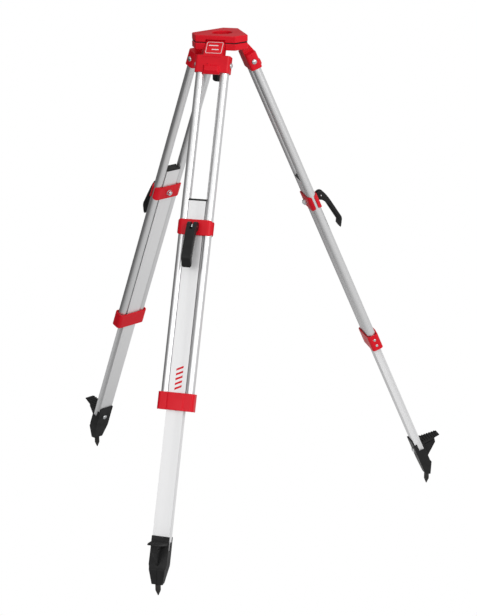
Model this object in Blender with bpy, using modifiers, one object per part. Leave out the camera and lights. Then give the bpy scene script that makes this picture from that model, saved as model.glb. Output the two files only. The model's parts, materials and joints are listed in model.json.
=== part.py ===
"""Aluminium levelling tripod: a flat triangular head, three telescopic legs, a centring screw.

Metres, +Z up, with the spike tips at Z = 0. The legs stand at azimuths -90 (front), 30 (right)
and 150 (left) degrees, opened against their stops and partly drawn out.

A leg is modelled in its own frame: +X points outward from the leg's wide face, +Y runs across
the leg, +Z points up the leg, and the origin is on the hinge axis. Depths along a leg are
measured down from the hinge axis. The sliding lower leg has its origin on the clamp bolt, the
lever on its pin, and the foot on its bolt.
"""
import math

import bmesh
import bpy
from mathutils import Matrix, Vector
from mathutils.geometry import interpolate_bezier

# Stance
SPLAY = math.radians(23.0)
LEG_AZIMUTHS = {"front": -90.0, "right": 30.0, "left": 150.0}
HEAD_CENTRE_Y = 0.1422      # puts the origin under the middle of the footprint's box
GAP = 0.0004                # clearance between pieces that touch

# Head
HEAD_FACE = 0.0544          # head axis to each leg's face of the triangle
HEAD_FACE_HALF = 0.0524     # half the length of that face
TOP_PLATE = 0.0168
PLATE_GAP = 0.0024
BASE_PLATE = 0.0164
HEAD_HOLE_RADIUS = 0.0265
BASE_HOLE_RADIUS = 0.031
HINGE_RADIUS = 0.0435       # head axis to a hinge axis
NOTCH_HALF = 0.0260
NOTCH_IN_TOP = 0.0066       # how far the leg notch rises into the top plate
PIN_RADIUS = 0.003
PIN_LENGTH = 0.066
PIN_HOLE = PIN_RADIUS + GAP

# Centring screw under the head
ARM_THICKNESS = 0.005
ARM_HALF_WIDTH = 0.0145
ARM_PIVOT_Y = 0.060
SLOT_TRAVEL = 0.008
ARM_SWING = math.radians(-5.5)   # where the arm rests, off the middle of the hole
STUD_RADIUS = 0.00794       # 5/8 inch thread
WASHER_THICKNESS = 0.0034
KNOB_RADIUS = 0.0195
KNOB_NECK_RADIUS = 0.013
KNOB_LENGTH = 0.077
KNOB_GRIP = 0.050
KNOB_FLUTES = 12

# Upper leg
TUBE_RADIUS = 0.0111
TUBE_WALL = 0.0015
TUBE_SPACING = 0.063
TUBE_PLANE = 0.0059         # the tubes' plane lies this far outside the hinge axis
TUBE_TOP = 0.050
TUBE_END = 0.913
CAP_TOP = 0.0370
CAP_BOTTOM = 0.080
CAP_HALF_WIDTH = 0.0448
CAP_HALF_DEPTH = 0.0148
CAP_BOLT_DEPTH = 0.059
CAP_BOLT_RADIUS = 0.003
KNUCKLE_RADIUS = 0.007
TONGUE_HALF = 0.0246
TONGUE_FLARE = math.radians(19.1)
BOSS_HALF = 0.0225
BOSS_CHAMFER = 0.0055
COLLAR_TOP = 0.8736
COLLAR_BOTTOM = 0.917
COLLAR_HALF_WIDTH = 0.0469
COLLAR_HALF_DEPTH = 0.0152
COLLAR_WALL = 0.0033
COLLAR_PANEL_HALF = 0.022
COLLAR_PANEL_PROUD = 0.0022

# Lower leg, from the clamp bolt's axis
CLAMP_DEPTH = 0.4663        # hinge axis down to the clamp bolt
INNER_TOP = 0.0663          # clamp bolt up to the lower leg's cut top
INNER_BOTTOM = 0.8107
INNER_HALF_DEPTH = 0.010
INNER_FLANK_HALF = 0.008    # half the depth of the hollow in each flank
INNER_FLANK_RADIUS = 0.0126
INNER_WALL = 0.0019
CLAMP_HEIGHT = 0.0387
CLAMP_THICKNESS = 0.003
CLAMP_CLEARANCE = 0.0005
CLAMP_WRAP = math.radians(16.7)
CLAMP_CORNER = 0.0095
CLAMP_BOLT_RADIUS = 0.003
EYE_RADIUS = 0.006
EYE_HALF = 0.0032
NUT_RADIUS = 0.0072
NUT_HEIGHT = 0.0072
LEVER_PIN_OUT = 0.0265      # leg's mid-plane out to the lever's pin
LEVER_HALF_WIDTH = 0.01225
LEVER_PIN_RADIUS = 0.0021
LEVER_REACH = 0.1037        # pin down to the end of the lip
LEVER_CORNER = 0.009
CAM_RADIUS = 0.0115

# Foot, from its bolt's axis
FOOT_DEPTH = 0.7907         # clamp bolt down to the foot bolt
FOOT_INNER = -0.0142
FOOT_OUTER = 0.0135
FOOT_HALF_WIDTH = 0.0232
FOOT_TIP_HALF = 0.0143
CHEEK_TOP = 0.034
CHEEK_HALF_WIDTH = 0.0222
FOOT_SHOULDER = -0.035
SOCKET_FLOOR = -0.0208
SOCKET_HALF = 0.0221
SLOT_HALF_DEPTH = 0.0104
SLOT_FLOOR = 0.0            # the shoe is open at the sides above this height
PEDAL_REACH = 0.066
PEDAL_TOP = 0.021
PEDAL_TIP_TOP = 0.0165
PEDAL_UNDER = 0.0122
PEDAL_TIP_HALF = 0.0155
PEDAL_TEETH = 7
TOOTH_HEIGHT = 0.0016
WEB_HALF = 0.008
WEB_THIN_HALF = 0.002
FOOT_BOLT_RADIUS = 0.0035
SPIKE_RADIUS = 0.0068
SPIKE_SHOULDER = 0.0308     # tip up to the shank, just under the shoe
SHANK_RADIUS = 0.0045
SPIKE_LENGTH = 0.052
SPIKE_TIP = Vector((-0.0185, 0.0, -0.110))

ROUND = 20                  # sides of a round piece
SMALL_ROUND = 12

RED = ("painted_red", (0.62, 0.012, 0.024, 1.0), 0.38, 0.0)
SILVER = ("anodised_aluminium", (0.72, 0.72, 0.73, 1.0), 0.32, 1.0)
STEEL = ("zinc_plated_steel", (0.58, 0.59, 0.58, 1.0), 0.28, 1.0)
DARK_STEEL = ("blackened_steel", (0.05, 0.05, 0.05, 1.0), 0.45, 0.9)
BLACK = ("black_plastic", (0.018, 0.018, 0.019, 1.0), 0.55, 0.0)

# Extrusion directions: the plane a flat outline is drawn in, as a turn from the XY plane
IN_XY = Matrix.Identity(4)
IN_XZ = Matrix.Rotation(math.pi / 2, 4, "X")
IN_YZ = Matrix(((0, 0, 1, 0), (1, 0, 0, 0), (0, 1, 0, 0), (0, 0, 0, 1)))
ALONG = {"X": Matrix.Rotation(math.pi / 2, 4, "Y"), "Y": Matrix.Rotation(-math.pi / 2, 4, "X"),
         "Z": Matrix.Identity(4)}


# ---------------------------------------------------------------- scene helpers

def clear_scene():
    for item in list(bpy.data.objects):
        bpy.data.objects.remove(item, do_unlink=True)


def new_collection(name):
    collection = bpy.data.collections.new(name)
    bpy.context.scene.collection.children.link(collection)
    return collection


def material(finish):
    """Return the Principled material of a finish, made the first time it is asked for."""
    name, colour, roughness, metallic = finish
    if name in bpy.data.materials:
        return bpy.data.materials[name]
    made = bpy.data.materials.new(name)
    made.use_nodes = True
    shader = made.node_tree.nodes["Principled BSDF"]
    shader.inputs["Base Color"].default_value = colour
    shader.inputs["Roughness"].default_value = roughness
    shader.inputs["Metallic"].default_value = metallic
    return made


def add_empty(name, parent=None, matrix=None):
    holder = bpy.data.objects.new(name, None)
    holder.empty_display_size = 0.05
    parts.objects.link(holder)
    holder.parent = parent
    holder.matrix_basis = matrix or Matrix.Identity(4)
    return holder


def add_part(name, mesh, finish, parent, place=None):
    """Link a named sub-part that shares the given mesh."""
    part = bpy.data.objects.new(name, mesh)
    if not mesh.materials:
        mesh.materials.append(material(finish))
    parts.objects.link(part)
    part.parent = parent
    part.matrix_basis = place or Matrix.Identity(4)
    return part


def bake(item):
    """Return the mesh an object evaluates to, welded, and remove the object."""
    bpy.context.view_layer.update()
    evaluated = item.evaluated_get(bpy.context.evaluated_depsgraph_get())
    mesh = bpy.data.meshes.new_from_object(evaluated)
    bpy.data.objects.remove(item, do_unlink=True)
    weld = bmesh.new()
    weld.from_mesh(mesh)
    bmesh.ops.remove_doubles(weld, verts=weld.verts, dist=1e-6)
    weld.to_mesh(mesh)
    weld.free()
    mesh.materials.clear()
    return mesh


def helper(mesh):
    """Hold a mesh in an object that only takes part in modelling."""
    item = bpy.data.objects.new("helper", mesh)
    item.hide_render = True
    item.display_type = "WIRE"
    helpers.objects.link(item)
    return item


# ---------------------------------------------------------------- shape helpers

def arc(centre, radius, start, end, steps):
    """Points along an arc in the drawing plane; angles in radians from the first axis."""
    turns = (start + (end - start) * step / steps for step in range(steps + 1))
    return [(centre[0] + radius * math.cos(turn), centre[1] + radius * math.sin(turn))
            for turn in turns]


def rounded_rectangle(half_x, half_y, radius, steps=4):
    outline = []
    for quarter, (side_x, side_y) in enumerate(((1, 1), (-1, 1), (-1, -1), (1, -1))):
        centre = (side_x * (half_x - radius), side_y * (half_y - radius))
        start = quarter * math.pi / 2
        outline += arc(centre, radius, start, start + math.pi / 2, steps)
    return outline


def flat(outlines, thickness, plane=IN_XY, centre=(0.0, 0.0, 0.0)):
    """Extrude flat outlines (the later ones are holes) about the drawing plane."""
    curve = bpy.data.curves.new("outline", "CURVE")
    curve.dimensions = "2D"
    curve.fill_mode = "BOTH"
    curve.extrude = thickness / 2
    for outline in outlines:
        spline = curve.splines.new("POLY")
        spline.points.add(len(outline) - 1)
        for point, (first, second) in zip(spline.points, outline):
            point.co = (first, second, 0.0, 1.0)
        spline.use_cyclic_u = True
    mesh = bake(helper(curve))
    mesh.transform(Matrix.Translation(centre) @ plane)
    return mesh


def block(half, centre=(0.0, 0.0, 0.0)):
    """A box from its half sizes."""
    shape = bmesh.new()
    bmesh.ops.create_cube(shape, size=2.0)
    bmesh.ops.scale(shape, vec=half, verts=shape.verts)
    bmesh.ops.translate(shape, vec=centre, verts=shape.verts)
    return from_bmesh(shape)


def rod(radius, length, along="Z", centre=(0.0, 0.0, 0.0), sides=SMALL_ROUND):
    """A solid cylinder about one of the axes."""
    shape = bmesh.new()
    bmesh.ops.create_cone(shape, cap_ends=True, segments=sides, radius1=radius, radius2=radius,
                          depth=length, matrix=Matrix.Translation(centre) @ ALONG[along])
    return from_bmesh(shape)


def from_bmesh(shape):
    mesh = bpy.data.meshes.new("shape")
    shape.to_mesh(mesh)
    shape.free()
    return mesh


def turned(profile, sides=SMALL_ROUND, along="Z"):
    """Turn a profile of (radius, height) points, listed from the top down, about an axis."""
    mesh = bpy.data.meshes.new("profile")
    points = [(radius, 0.0, height) for radius, height in profile]
    mesh.from_pydata(points, [(i, i + 1) for i in range(len(points) - 1)], [])
    item = helper(mesh)
    screw = item.modifiers.new("turn", "SCREW")
    screw.steps = screw.render_steps = sides
    screw.use_merge_vertices = True
    screw.merge_threshold = 1e-5
    turned_mesh = bake(item)
    turned_mesh.transform(ALONG[along])
    return turned_mesh


def combined(mesh, joins=(), cuts=(), common=()):
    """Join, cut or intersect a mesh with others and return the result."""
    body = helper(mesh)
    tools = []
    for operation, others in (("UNION", joins), ("DIFFERENCE", cuts), ("INTERSECT", common)):
        for other in others:
            tools.append(helper(other))
            boolean = body.modifiers.new("boolean", "BOOLEAN")
            boolean.operation = operation
            boolean.object = tools[-1]
    result = bake(body)
    for tool in tools:
        bpy.data.objects.remove(tool, do_unlink=True)
    return result


def reshaped(mesh, rule):
    """Move every vertex by a rule from its old place to its new one."""
    for vertex in mesh.vertices:
        vertex.co = rule(vertex.co.copy())
    return mesh


def smooth(mesh, angle=35.0):
    mesh.shade_smooth()
    mesh.set_sharp_from_angle(angle=math.radians(angle))
    return mesh


def blend(start, end, amount):
    return start + (end - start) * min(max(amount, 0.0), 1.0)


def bezier(start, start_handle, end_handle, end, points):
    """Points of a flat Bezier stretch."""
    ends = [Vector((*spot, 0.0)) for spot in (start, start_handle, end_handle, end)]
    return [(spot.x, spot.y) for spot in interpolate_bezier(*ends, points)]


def dome_bolt(radius, shaft_top, shaft_end, head_radius, head_height, far_head=False):
    """A domed bolt about Z, its head above shaft_top; far_head adds the same head below."""
    head = [(head_radius * math.sin(turn), shaft_top + head_height * math.cos(turn))
            for turn in (i * math.pi / 6 for i in range(4))]
    profile = head + [(radius, shaft_top), (radius, shaft_end)]
    if far_head:
        profile += [(x, shaft_top + shaft_end - z) for x, z in reversed(head)]
    else:
        profile += [(0.0, shaft_end)]
    return profile


# ---------------------------------------------------------------- head

def head_outline(inset=0.0):
    """The head's triangle with its corners cut off."""
    outline = []
    for azimuth in LEG_AZIMUTHS.values():
        turn = math.radians(azimuth)
        face = HEAD_FACE - inset
        half = HEAD_FACE_HALF - inset * math.tan(math.radians(30.0))
        for side in (-half, half):
            outline.append((face * math.cos(turn) - side * math.sin(turn),
                            face * math.sin(turn) + side * math.cos(turn)))
    return outline


def circle(radius, sides=ROUND):
    return arc((0.0, 0.0), radius, 0.0, 2 * math.pi * (sides - 1) / sides, sides - 1)


def at_each_leg(mesh):
    """Copies of a cutter drawn for a leg at azimuth 0, one at each leg."""
    copies = []
    for azimuth in LEG_AZIMUTHS.values():
        copy = mesh.copy()
        copy.transform(Matrix.Rotation(math.radians(azimuth), 4, "Z"))
        copies.append(copy)
    return copies


def leg_notch(bottom, top):
    """The opening for a leg's tongue, from inside the knuckle out past the head's face."""
    inner = HINGE_RADIUS - KNUCKLE_RADIUS - 0.003
    outer = HEAD_FACE + 0.01
    half = ((outer - inner) / 2, NOTCH_HALF, (top - bottom) / 2)
    return block(half, ((inner + outer) / 2, 0.0, (top + bottom) / 2))


def pin_groove(height):
    return rod(PIN_HOLE, PIN_LENGTH + 2 * GAP, "Y", (HINGE_RADIUS, 0.0, height))


def head_top():
    """Top plate, its flat face up and its origin on the parting line with the gap."""
    plate = flat([head_outline(), circle(HEAD_HOLE_RADIUS)], TOP_PLATE,
                 centre=(0, 0, PLATE_GAP / 2 + TOP_PLATE / 2))
    notches = at_each_leg(leg_notch(-0.001, PLATE_GAP / 2 + NOTCH_IN_TOP))
    return smooth(combined(plate, cuts=notches + at_each_leg(pin_groove(0.0))))


def head_gasket():
    """Thin spacer between the plates, open at the pins and tongues."""
    sheet = flat([head_outline(0.0012), circle(BASE_HOLE_RADIUS)], PLATE_GAP - 2 * GAP)
    slot = block((0.004, PIN_LENGTH / 2 + GAP, 0.01), (HINGE_RADIUS, 0.0, 0.0))
    notches = at_each_leg(leg_notch(-0.01, 0.01))
    return smooth(combined(sheet, cuts=notches + at_each_leg(slot)))


def head_base():
    """Lower plate, with the pins' grooves in its top and the arm pivot's hole."""
    plate = flat([head_outline(), circle(BASE_HOLE_RADIUS)], BASE_PLATE,
                 centre=(0, 0, -PLATE_GAP / 2 - BASE_PLATE / 2))
    notches = at_each_leg(leg_notch(-0.03, 0.01))
    pivot_hole = rod(0.0044, 0.030, "Z", (0.0, ARM_PIVOT_Y, -0.020))
    return smooth(combined(plate, cuts=notches + at_each_leg(pin_groove(0.0)) + [pivot_hole]))


def swing_arm():
    """Flat arm that carries the centring screw; its origin is on the pivot, at mid-thickness."""
    far = -ARM_PIVOT_Y - SLOT_TRAVEL
    outline = (arc((0.0, 0.0), ARM_HALF_WIDTH, 0.0, math.pi, 8)
               + arc((0.0, far), ARM_HALF_WIDTH, math.pi, 2 * math.pi, 8))
    slot_radius = STUD_RADIUS + GAP
    slot = (arc((0.0, far + 2 * SLOT_TRAVEL), slot_radius, 0.0, math.pi, 8)
            + arc((0.0, far), slot_radius, math.pi, 2 * math.pi, 8))
    hole = arc((0.0, 0.0), 0.0044, 0.0, 2 * math.pi * 11 / 12, 11)
    return smooth(flat([outline, slot, hole], ARM_THICKNESS))


def arm_pivot():
    """Shoulder screw up into the base plate, about its axis, origin at the arm's middle."""
    under = -ARM_THICKNESS / 2 - GAP
    return smooth(turned([(0.0, 0.015), (0.004, 0.015), (0.004, under), (0.008, under),
                          (0.008, under - 0.003), (0.007, under - 0.004), (0.0, under - 0.004)]))


def centring_washer():
    outer, inner, half = 0.016, STUD_RADIUS + GAP, WASHER_THICKNESS / 2
    return smooth(turned([(outer, half), (outer, -half), (inner, -half), (inner, half),
                          (outer, half)], ROUND))


def centring_stud(top, bottom):
    """The 5/8 inch screw, with a chamfer at its top."""
    return smooth(turned([(0.0, top), (STUD_RADIUS - 0.0015, top), (STUD_RADIUS, top - 0.0015),
                          (STUD_RADIUS, bottom), (0.0, bottom)], ROUND))


def centring_knob():
    """Fluted grip under a neck, hollow at its top for the screw; its origin is its top."""
    grip_top = -KNOB_LENGTH + KNOB_GRIP
    socket = STUD_RADIUS + GAP
    body = turned([(socket, 0.0), (KNOB_NECK_RADIUS, 0.0), (KNOB_NECK_RADIUS, grip_top + 0.006),
                   (KNOB_RADIUS - 0.002, grip_top), (KNOB_RADIUS, grip_top - 0.004),
                   (KNOB_RADIUS, -KNOB_LENGTH + 0.005), (KNOB_RADIUS - 0.004, -KNOB_LENGTH),
                   (0.0, -KNOB_LENGTH), (0.0, -0.0315), (socket, -0.0315), (socket, 0.0)],
                  KNOB_FLUTES * 2)

    def fluted(spot):
        turn = math.atan2(spot.y, spot.x) * KNOB_FLUTES
        radius = math.hypot(spot.x, spot.y)
        if radius < KNOB_RADIUS - 0.0005:
            return spot
        shrink = 1.0 - 0.025 * (1.0 - math.cos(turn))
        return Vector((spot.x * shrink, spot.y * shrink, spot.z))

    return smooth(reshaped(body, fluted), 50.0)


# ---------------------------------------------------------------- upper leg

def leg_cap():
    """Casting at a leg's top: hinge tongue, shoulder with two tube sockets, front boss."""
    knuckle = arc((0.0, 0.0), KNUCKLE_RADIUS, TONGUE_FLARE, math.pi, 8)
    root = -CAP_TOP - 0.0045
    run = -root + KNUCKLE_RADIUS * math.sin(TONGUE_FLARE)
    outer_root = knuckle[0][0] + run * math.tan(TONGUE_FLARE)
    tongue = flat([knuckle + [(-KNUCKLE_RADIUS - 0.001, root), (outer_root, root)]],
                  2 * TONGUE_HALF, IN_XZ)

    height = CAP_BOTTOM - CAP_TOP
    shoulder = flat([rounded_rectangle(CAP_HALF_DEPTH, CAP_HALF_WIDTH, 0.008)], height,
                    centre=(TUBE_PLANE, 0.0, -CAP_TOP - height / 2))

    face = TUBE_PLANE + CAP_HALF_DEPTH - 0.0005
    front = face + 0.0062
    boss = flat([[(TUBE_PLANE + 0.012, -0.0615), (face, -0.0615), (front, -0.0655),
                  (front, -0.077), (face, -0.0845), (TUBE_PLANE + 0.012, -0.0845)]],
                2 * BOSS_HALF, IN_XZ)

    def chamfered(spot):
        if spot.x > front - 0.001:
            spot.y -= math.copysign(BOSS_CHAMFER, spot.y)
        return spot

    sockets = [rod(TUBE_RADIUS + GAP, 0.040, "Z",
                   (TUBE_PLANE, side * TUBE_SPACING / 2, -TUBE_TOP + GAP - 0.020), ROUND)
               for side in (-1, 1)]
    bolt_hole = rod(CAP_BOLT_RADIUS + GAP, 0.2, "Y", (TUBE_PLANE, 0.0, -CAP_BOLT_DEPTH))
    pin_hole = rod(PIN_HOLE, 0.2, "Y")
    return smooth(combined(shoulder, joins=[tongue, reshaped(boss, chamfered)],
                           cuts=sockets + [bolt_hole, pin_hole]))


def leg_tube():
    """Open round tube about Z, its top at Z = 0, cross-drilled for the cap bolt."""
    length = TUBE_END - TUBE_TOP
    shape = bmesh.new()
    bmesh.ops.create_cone(shape, cap_ends=False, segments=ROUND, radius1=TUBE_RADIUS,
                          radius2=TUBE_RADIUS, depth=length,
                          matrix=Matrix.Translation((0.0, 0.0, -length / 2)))
    item = helper(from_bmesh(shape))
    wall = item.modifiers.new("wall", "SOLIDIFY")
    wall.thickness = TUBE_WALL
    wall.offset = -1.0
    hole = rod(CAP_BOLT_RADIUS + GAP, 0.06, "Y", (0.0, 0.0, TUBE_TOP - CAP_BOLT_DEPTH))
    return smooth(combined(bake(item), cuts=[hole]))


def cap_bolt():
    half = CAP_HALF_WIDTH + GAP
    profile = dome_bolt(CAP_BOLT_RADIUS, half, -half, 0.0067, 0.0042, far_head=True)
    return smooth(turned(profile, along="Y"))


def leg_collar():
    """Thin-walled sleeve round both tubes, with a raised panel on its outer face."""
    slope = 0.0045
    panel = [(COLLAR_HALF_DEPTH, -COLLAR_PANEL_HALF),
             (COLLAR_HALF_DEPTH + COLLAR_PANEL_PROUD, -COLLAR_PANEL_HALF + slope),
             (COLLAR_HALF_DEPTH + COLLAR_PANEL_PROUD, COLLAR_PANEL_HALF - slope),
             (COLLAR_HALF_DEPTH, COLLAR_PANEL_HALF)]
    outer = panel + rounded_rectangle(COLLAR_HALF_DEPTH, COLLAR_HALF_WIDTH, 0.009)
    inner = rounded_rectangle(COLLAR_HALF_DEPTH - COLLAR_WALL, COLLAR_HALF_WIDTH - COLLAR_WALL,
                              0.0055)
    return smooth(flat([outer, inner], COLLAR_BOTTOM - COLLAR_TOP))


# ---------------------------------------------------------------- lower leg and clamp

def inner_outline(offset=0.0):
    """Section of the lower leg: flat faces, with hollow flanks that clear the tubes."""
    depth = INNER_HALF_DEPTH + offset
    radius = INNER_FLANK_RADIUS - offset
    lean = math.asin(INNER_FLANK_HALF / radius)
    flank = arc((0.0, TUBE_SPACING / 2), radius, -math.pi / 2 + lean, -math.pi / 2 - lean, 8)
    edge = flank[0][1]
    flank = [(depth, edge)] + flank + [(-depth, edge)]
    return flank + [(-x, -y) for x, y in flank]


def inner_leg():
    """Hollow extrusion, drilled for the clamp bolt and the foot bolt."""
    half_core = TUBE_SPACING / 2 - INNER_FLANK_RADIUS - INNER_WALL
    core = rounded_rectangle(INNER_HALF_DEPTH - INNER_WALL, half_core, 0.001, 1)
    length = INNER_TOP + INNER_BOTTOM
    body = flat([inner_outline(), core], length, centre=(0.0, 0.0, INNER_TOP - length / 2))
    holes = [rod(CLAMP_BOLT_RADIUS + GAP, 0.1, "X"),
             rod(FOOT_BOLT_RADIUS + GAP, 0.1, "X", (0.0, 0.0, -FOOT_DEPTH))]
    return smooth(combined(body, cuts=holes))


def end_cap():
    """Plastic plug in the lower leg's top, about the cut end."""
    rim = flat([inner_outline(0.0006)], 0.0042, centre=(0.0, 0.0, 0.0021 + GAP))
    core_half = TUBE_SPACING / 2 - INNER_FLANK_RADIUS - INNER_WALL - GAP
    core = rounded_rectangle(INNER_HALF_DEPTH - INNER_WALL - GAP, core_half, 0.0012, 1)
    plug = flat([core], 0.014, centre=(0.0, 0.0, -0.0055))
    return smooth(combined(rim, joins=[plug]))


def clamp_plate():
    """Channel plate on the leg's outer side; its ends wrap round the tubes."""
    inner = TUBE_RADIUS + CLAMP_CLEARANCE
    outer = inner + CLAMP_THICKNESS
    half = TUBE_SPACING / 2
    outline = (arc((0.0, half), outer, math.pi / 2 - CLAMP_WRAP, 0.0, 6)
               + arc((0.0, -half), outer, 0.0, -math.pi / 2 + CLAMP_WRAP, 6)
               + arc((0.0, -half), inner, -math.pi / 2 + CLAMP_WRAP, 0.0, 6)
               + arc((0.0, half), inner, 0.0, math.pi / 2 - CLAMP_WRAP, 6))
    front_view = flat([rounded_rectangle(half + outer, CLAMP_HEIGHT / 2, CLAMP_CORNER)], 0.06,
                      IN_YZ)
    bolt_hole = rod(CLAMP_BOLT_RADIUS + GAP, 0.1, "X")
    plate = flat([outline], CLAMP_HEIGHT + 0.01)
    return smooth(combined(plate, cuts=[bolt_hole], common=[front_view]))


def clamp_bolt():
    """Eye bolt through the lower leg and both plates; the lever's pin runs in its eye."""
    tail = -TUBE_RADIUS - CLAMP_THICKNESS - NUT_HEIGHT - 0.003
    reach = LEVER_PIN_OUT - EYE_RADIUS / 2
    shaft = rod(CLAMP_BOLT_RADIUS, reach - tail, "X", ((reach + tail) / 2, 0.0, 0.0))
    eye = rod(EYE_RADIUS, 2 * EYE_HALF, "Y", (LEVER_PIN_OUT, 0.0, 0.0), ROUND)
    hole = rod(LEVER_PIN_RADIUS + GAP, 0.02, "Y", (LEVER_PIN_OUT, 0.0, 0.0))
    return smooth(combined(shaft, joins=[eye], cuts=[hole]))


def clamp_nut():
    """Hexagon nut behind the inner plate."""
    back = -TUBE_RADIUS - CLAMP_CLEARANCE - CLAMP_THICKNESS - GAP
    middle = (back - NUT_HEIGHT / 2, 0.0, 0.0)
    nut = rod(NUT_RADIUS, NUT_HEIGHT, "X", middle, 6)
    return smooth(combined(nut, cuts=[rod(CLAMP_BOLT_RADIUS + GAP, 0.03, "X", middle)]))


def clamp_lever():
    """Forked cam lever about its pin: the arm bows outward and ends in a lip."""
    outer_edge = bezier((0.0085, 0.0074), (0.0165, -0.003), (0.020, -0.034), (0.028, -0.0755), 9)
    lip = [(0.0262, -0.0845), (0.0155, -0.1035), (0.0135, -0.100), (0.0115, -0.0905)]
    inner_edge = bezier((0.0186, -0.077), (0.0165, -0.050), (0.0125, -0.028), (-0.004, -0.0100),
                        8)
    arm = flat([outer_edge + lip + inner_edge], 2 * LEVER_HALF_WIDTH, IN_XZ)
    front_view = flat([rounded_rectangle(LEVER_HALF_WIDTH + 0.001, 0.11, LEVER_CORNER)], 0.1,
                      IN_YZ, (0.0, 0.0, 0.11 - LEVER_REACH))
    cam = rod(CAM_RADIUS, 2 * LEVER_HALF_WIDTH + 0.001, "Y", sides=ROUND)
    fork_slot = block((0.03, EYE_HALF + GAP, 0.016), (0.0, 0.0, 0.0085))
    pin_hole = rod(LEVER_PIN_RADIUS + GAP, 0.05, "Y")
    return smooth(combined(arm, joins=[cam], cuts=[fork_slot, pin_hole], common=[front_view]),
                  40.0)


def lever_pin():
    return smooth(rod(LEVER_PIN_RADIUS, 2 * LEVER_HALF_WIDTH, "Y"))


# ---------------------------------------------------------------- foot

def foot_body():
    """The shoe: cheeks above, a closed socket, and a block that narrows to the spike."""
    outline = [(FOOT_INNER, CHEEK_TOP), (FOOT_INNER, 0.0), (FOOT_INNER, FOOT_SHOULDER),
               (-0.0131, -0.0784), (0.0005, -0.0842), (0.0160, -0.0480), (FOOT_OUTER, -0.0415),
               (FOOT_OUTER, FOOT_SHOULDER), (FOOT_OUTER, 0.0), (FOOT_OUTER, CHEEK_TOP)]
    mesh = flat([outline], 2.0, IN_XZ)

    def narrowed(spot):
        if spot.z > 0.0:
            half = CHEEK_HALF_WIDTH
        else:
            half = blend(FOOT_HALF_WIDTH, FOOT_TIP_HALF, (FOOT_SHOULDER - spot.z) / 0.044)
        return Vector((spot.x, math.copysign(half, spot.y), spot.z))

    return reshaped(mesh, narrowed)


def foot_pedal():
    """Step plate out from the leg, toothed on top and narrower at its end."""
    start, tip = FOOT_OUTER - 0.004, PEDAL_REACH
    pitch = (tip - FOOT_OUTER - 0.004) / PEDAL_TEETH
    top = []
    for tooth in range(PEDAL_TEETH):
        near = FOOT_OUTER + 0.002 + tooth * pitch
        for along, lift in ((near, -TOOTH_HEIGHT), (near + 0.2 * pitch, 0.0),
                            (near + 0.6 * pitch, 0.0), (near + 0.8 * pitch, -TOOTH_HEIGHT)):
            share = (along - FOOT_OUTER) / (tip - FOOT_OUTER)
            top.append((along, blend(PEDAL_TOP, PEDAL_TIP_TOP, share) + lift))
    outline = [(start, PEDAL_UNDER), (start, PEDAL_TOP)] + top
    outline += [(tip, PEDAL_TIP_TOP - 0.001), (tip, PEDAL_UNDER + 0.001), (tip - 0.002, PEDAL_UNDER)]
    mesh = flat([outline], 2.0, IN_XZ)

    def trapezoid(spot):
        share = (spot.x - FOOT_OUTER) / (PEDAL_REACH - FOOT_OUTER)
        half = blend(CHEEK_HALF_WIDTH - 0.0005, PEDAL_TIP_HALF, share)
        return Vector((spot.x, math.copysign(half, spot.y), spot.z))

    return reshaped(mesh, trapezoid)


def foot_web():
    """Wedge under the pedal, thick at the pedal and thin at its lower end."""
    outline = [(FOOT_OUTER - 0.004, PEDAL_UNDER + 0.002), (0.0520, PEDAL_UNDER + 0.002),
               (0.0490, -0.0055), (0.0125, -0.0385), (FOOT_OUTER - 0.004, -0.0385)]
    mesh = flat([outline], 2.0, IN_XZ)

    def wedge(spot):
        share = (PEDAL_UNDER - spot.z) / (PEDAL_UNDER + 0.0385)
        half = blend(WEB_HALF, WEB_THIN_HALF, share)
        return Vector((spot.x, math.copysign(half, spot.y), spot.z))

    return reshaped(mesh, wedge)


def spike_frame():
    """Turn from the foot's frame to the spike's: the spike hangs plumb when the leg is open."""
    return Matrix.Translation(SPIKE_TIP) @ Matrix.Rotation(SPLAY, 4, "Y")


def foot():
    slot_height = CHEEK_TOP - SLOT_FLOOR
    slot = block((SLOT_HALF_DEPTH, 0.05, slot_height / 2 + 0.005),
                 (0.0, 0.0, SLOT_FLOOR + slot_height / 2 + 0.005))
    pocket_height = 0.010 - SOCKET_FLOOR
    pocket = block((SLOT_HALF_DEPTH, SOCKET_HALF, pocket_height / 2),
                   (0.0, 0.0, 0.010 - pocket_height / 2))
    bolt_hole = rod(FOOT_BOLT_RADIUS + GAP, 0.0292, "X", (0.0126 - 0.0146, 0.0, 0.0))
    hole_bottom = SPIKE_SHOULDER - 0.006
    spike_hole = rod(SHANK_RADIUS + GAP, SPIKE_LENGTH + GAP - hole_bottom, sides=SMALL_ROUND,
                     centre=(0.0, 0.0, (SPIKE_LENGTH + GAP + hole_bottom) / 2))
    spike_hole.transform(spike_frame())
    return smooth(combined(foot_body(), joins=[foot_pedal(), foot_web()],
                           cuts=[slot, pocket, bolt_hole, spike_hole]))


def foot_bolt():
    """Domed bolt from the leg's inner side; its thread ends in the outer cheek."""
    profile = dome_bolt(FOOT_BOLT_RADIUS, -FOOT_INNER + GAP, -0.012, 0.0067, 0.0052)
    return smooth(turned(profile, along="X"))


def spike():
    """Steel point about Z, its tip at the origin, with a thinner shank up into the shoe."""
    return smooth(turned([(0.0, SPIKE_LENGTH), (SHANK_RADIUS, SPIKE_LENGTH),
                          (SHANK_RADIUS, SPIKE_SHOULDER), (SPIKE_RADIUS, SPIKE_SHOULDER),
                          (SPIKE_RADIUS, 0.013), (0.0012, 0.0008), (0.0, 0.0)]))


# ---------------------------------------------------------------- assembly

def hinge_height():
    """Height of the hinge axes over the spike tips in the open stance."""
    depth = CLAMP_DEPTH + FOOT_DEPTH - SPIKE_TIP.z
    return depth * math.cos(SPLAY) - (TUBE_PLANE + SPIKE_TIP.x) * math.sin(SPLAY)


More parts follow.
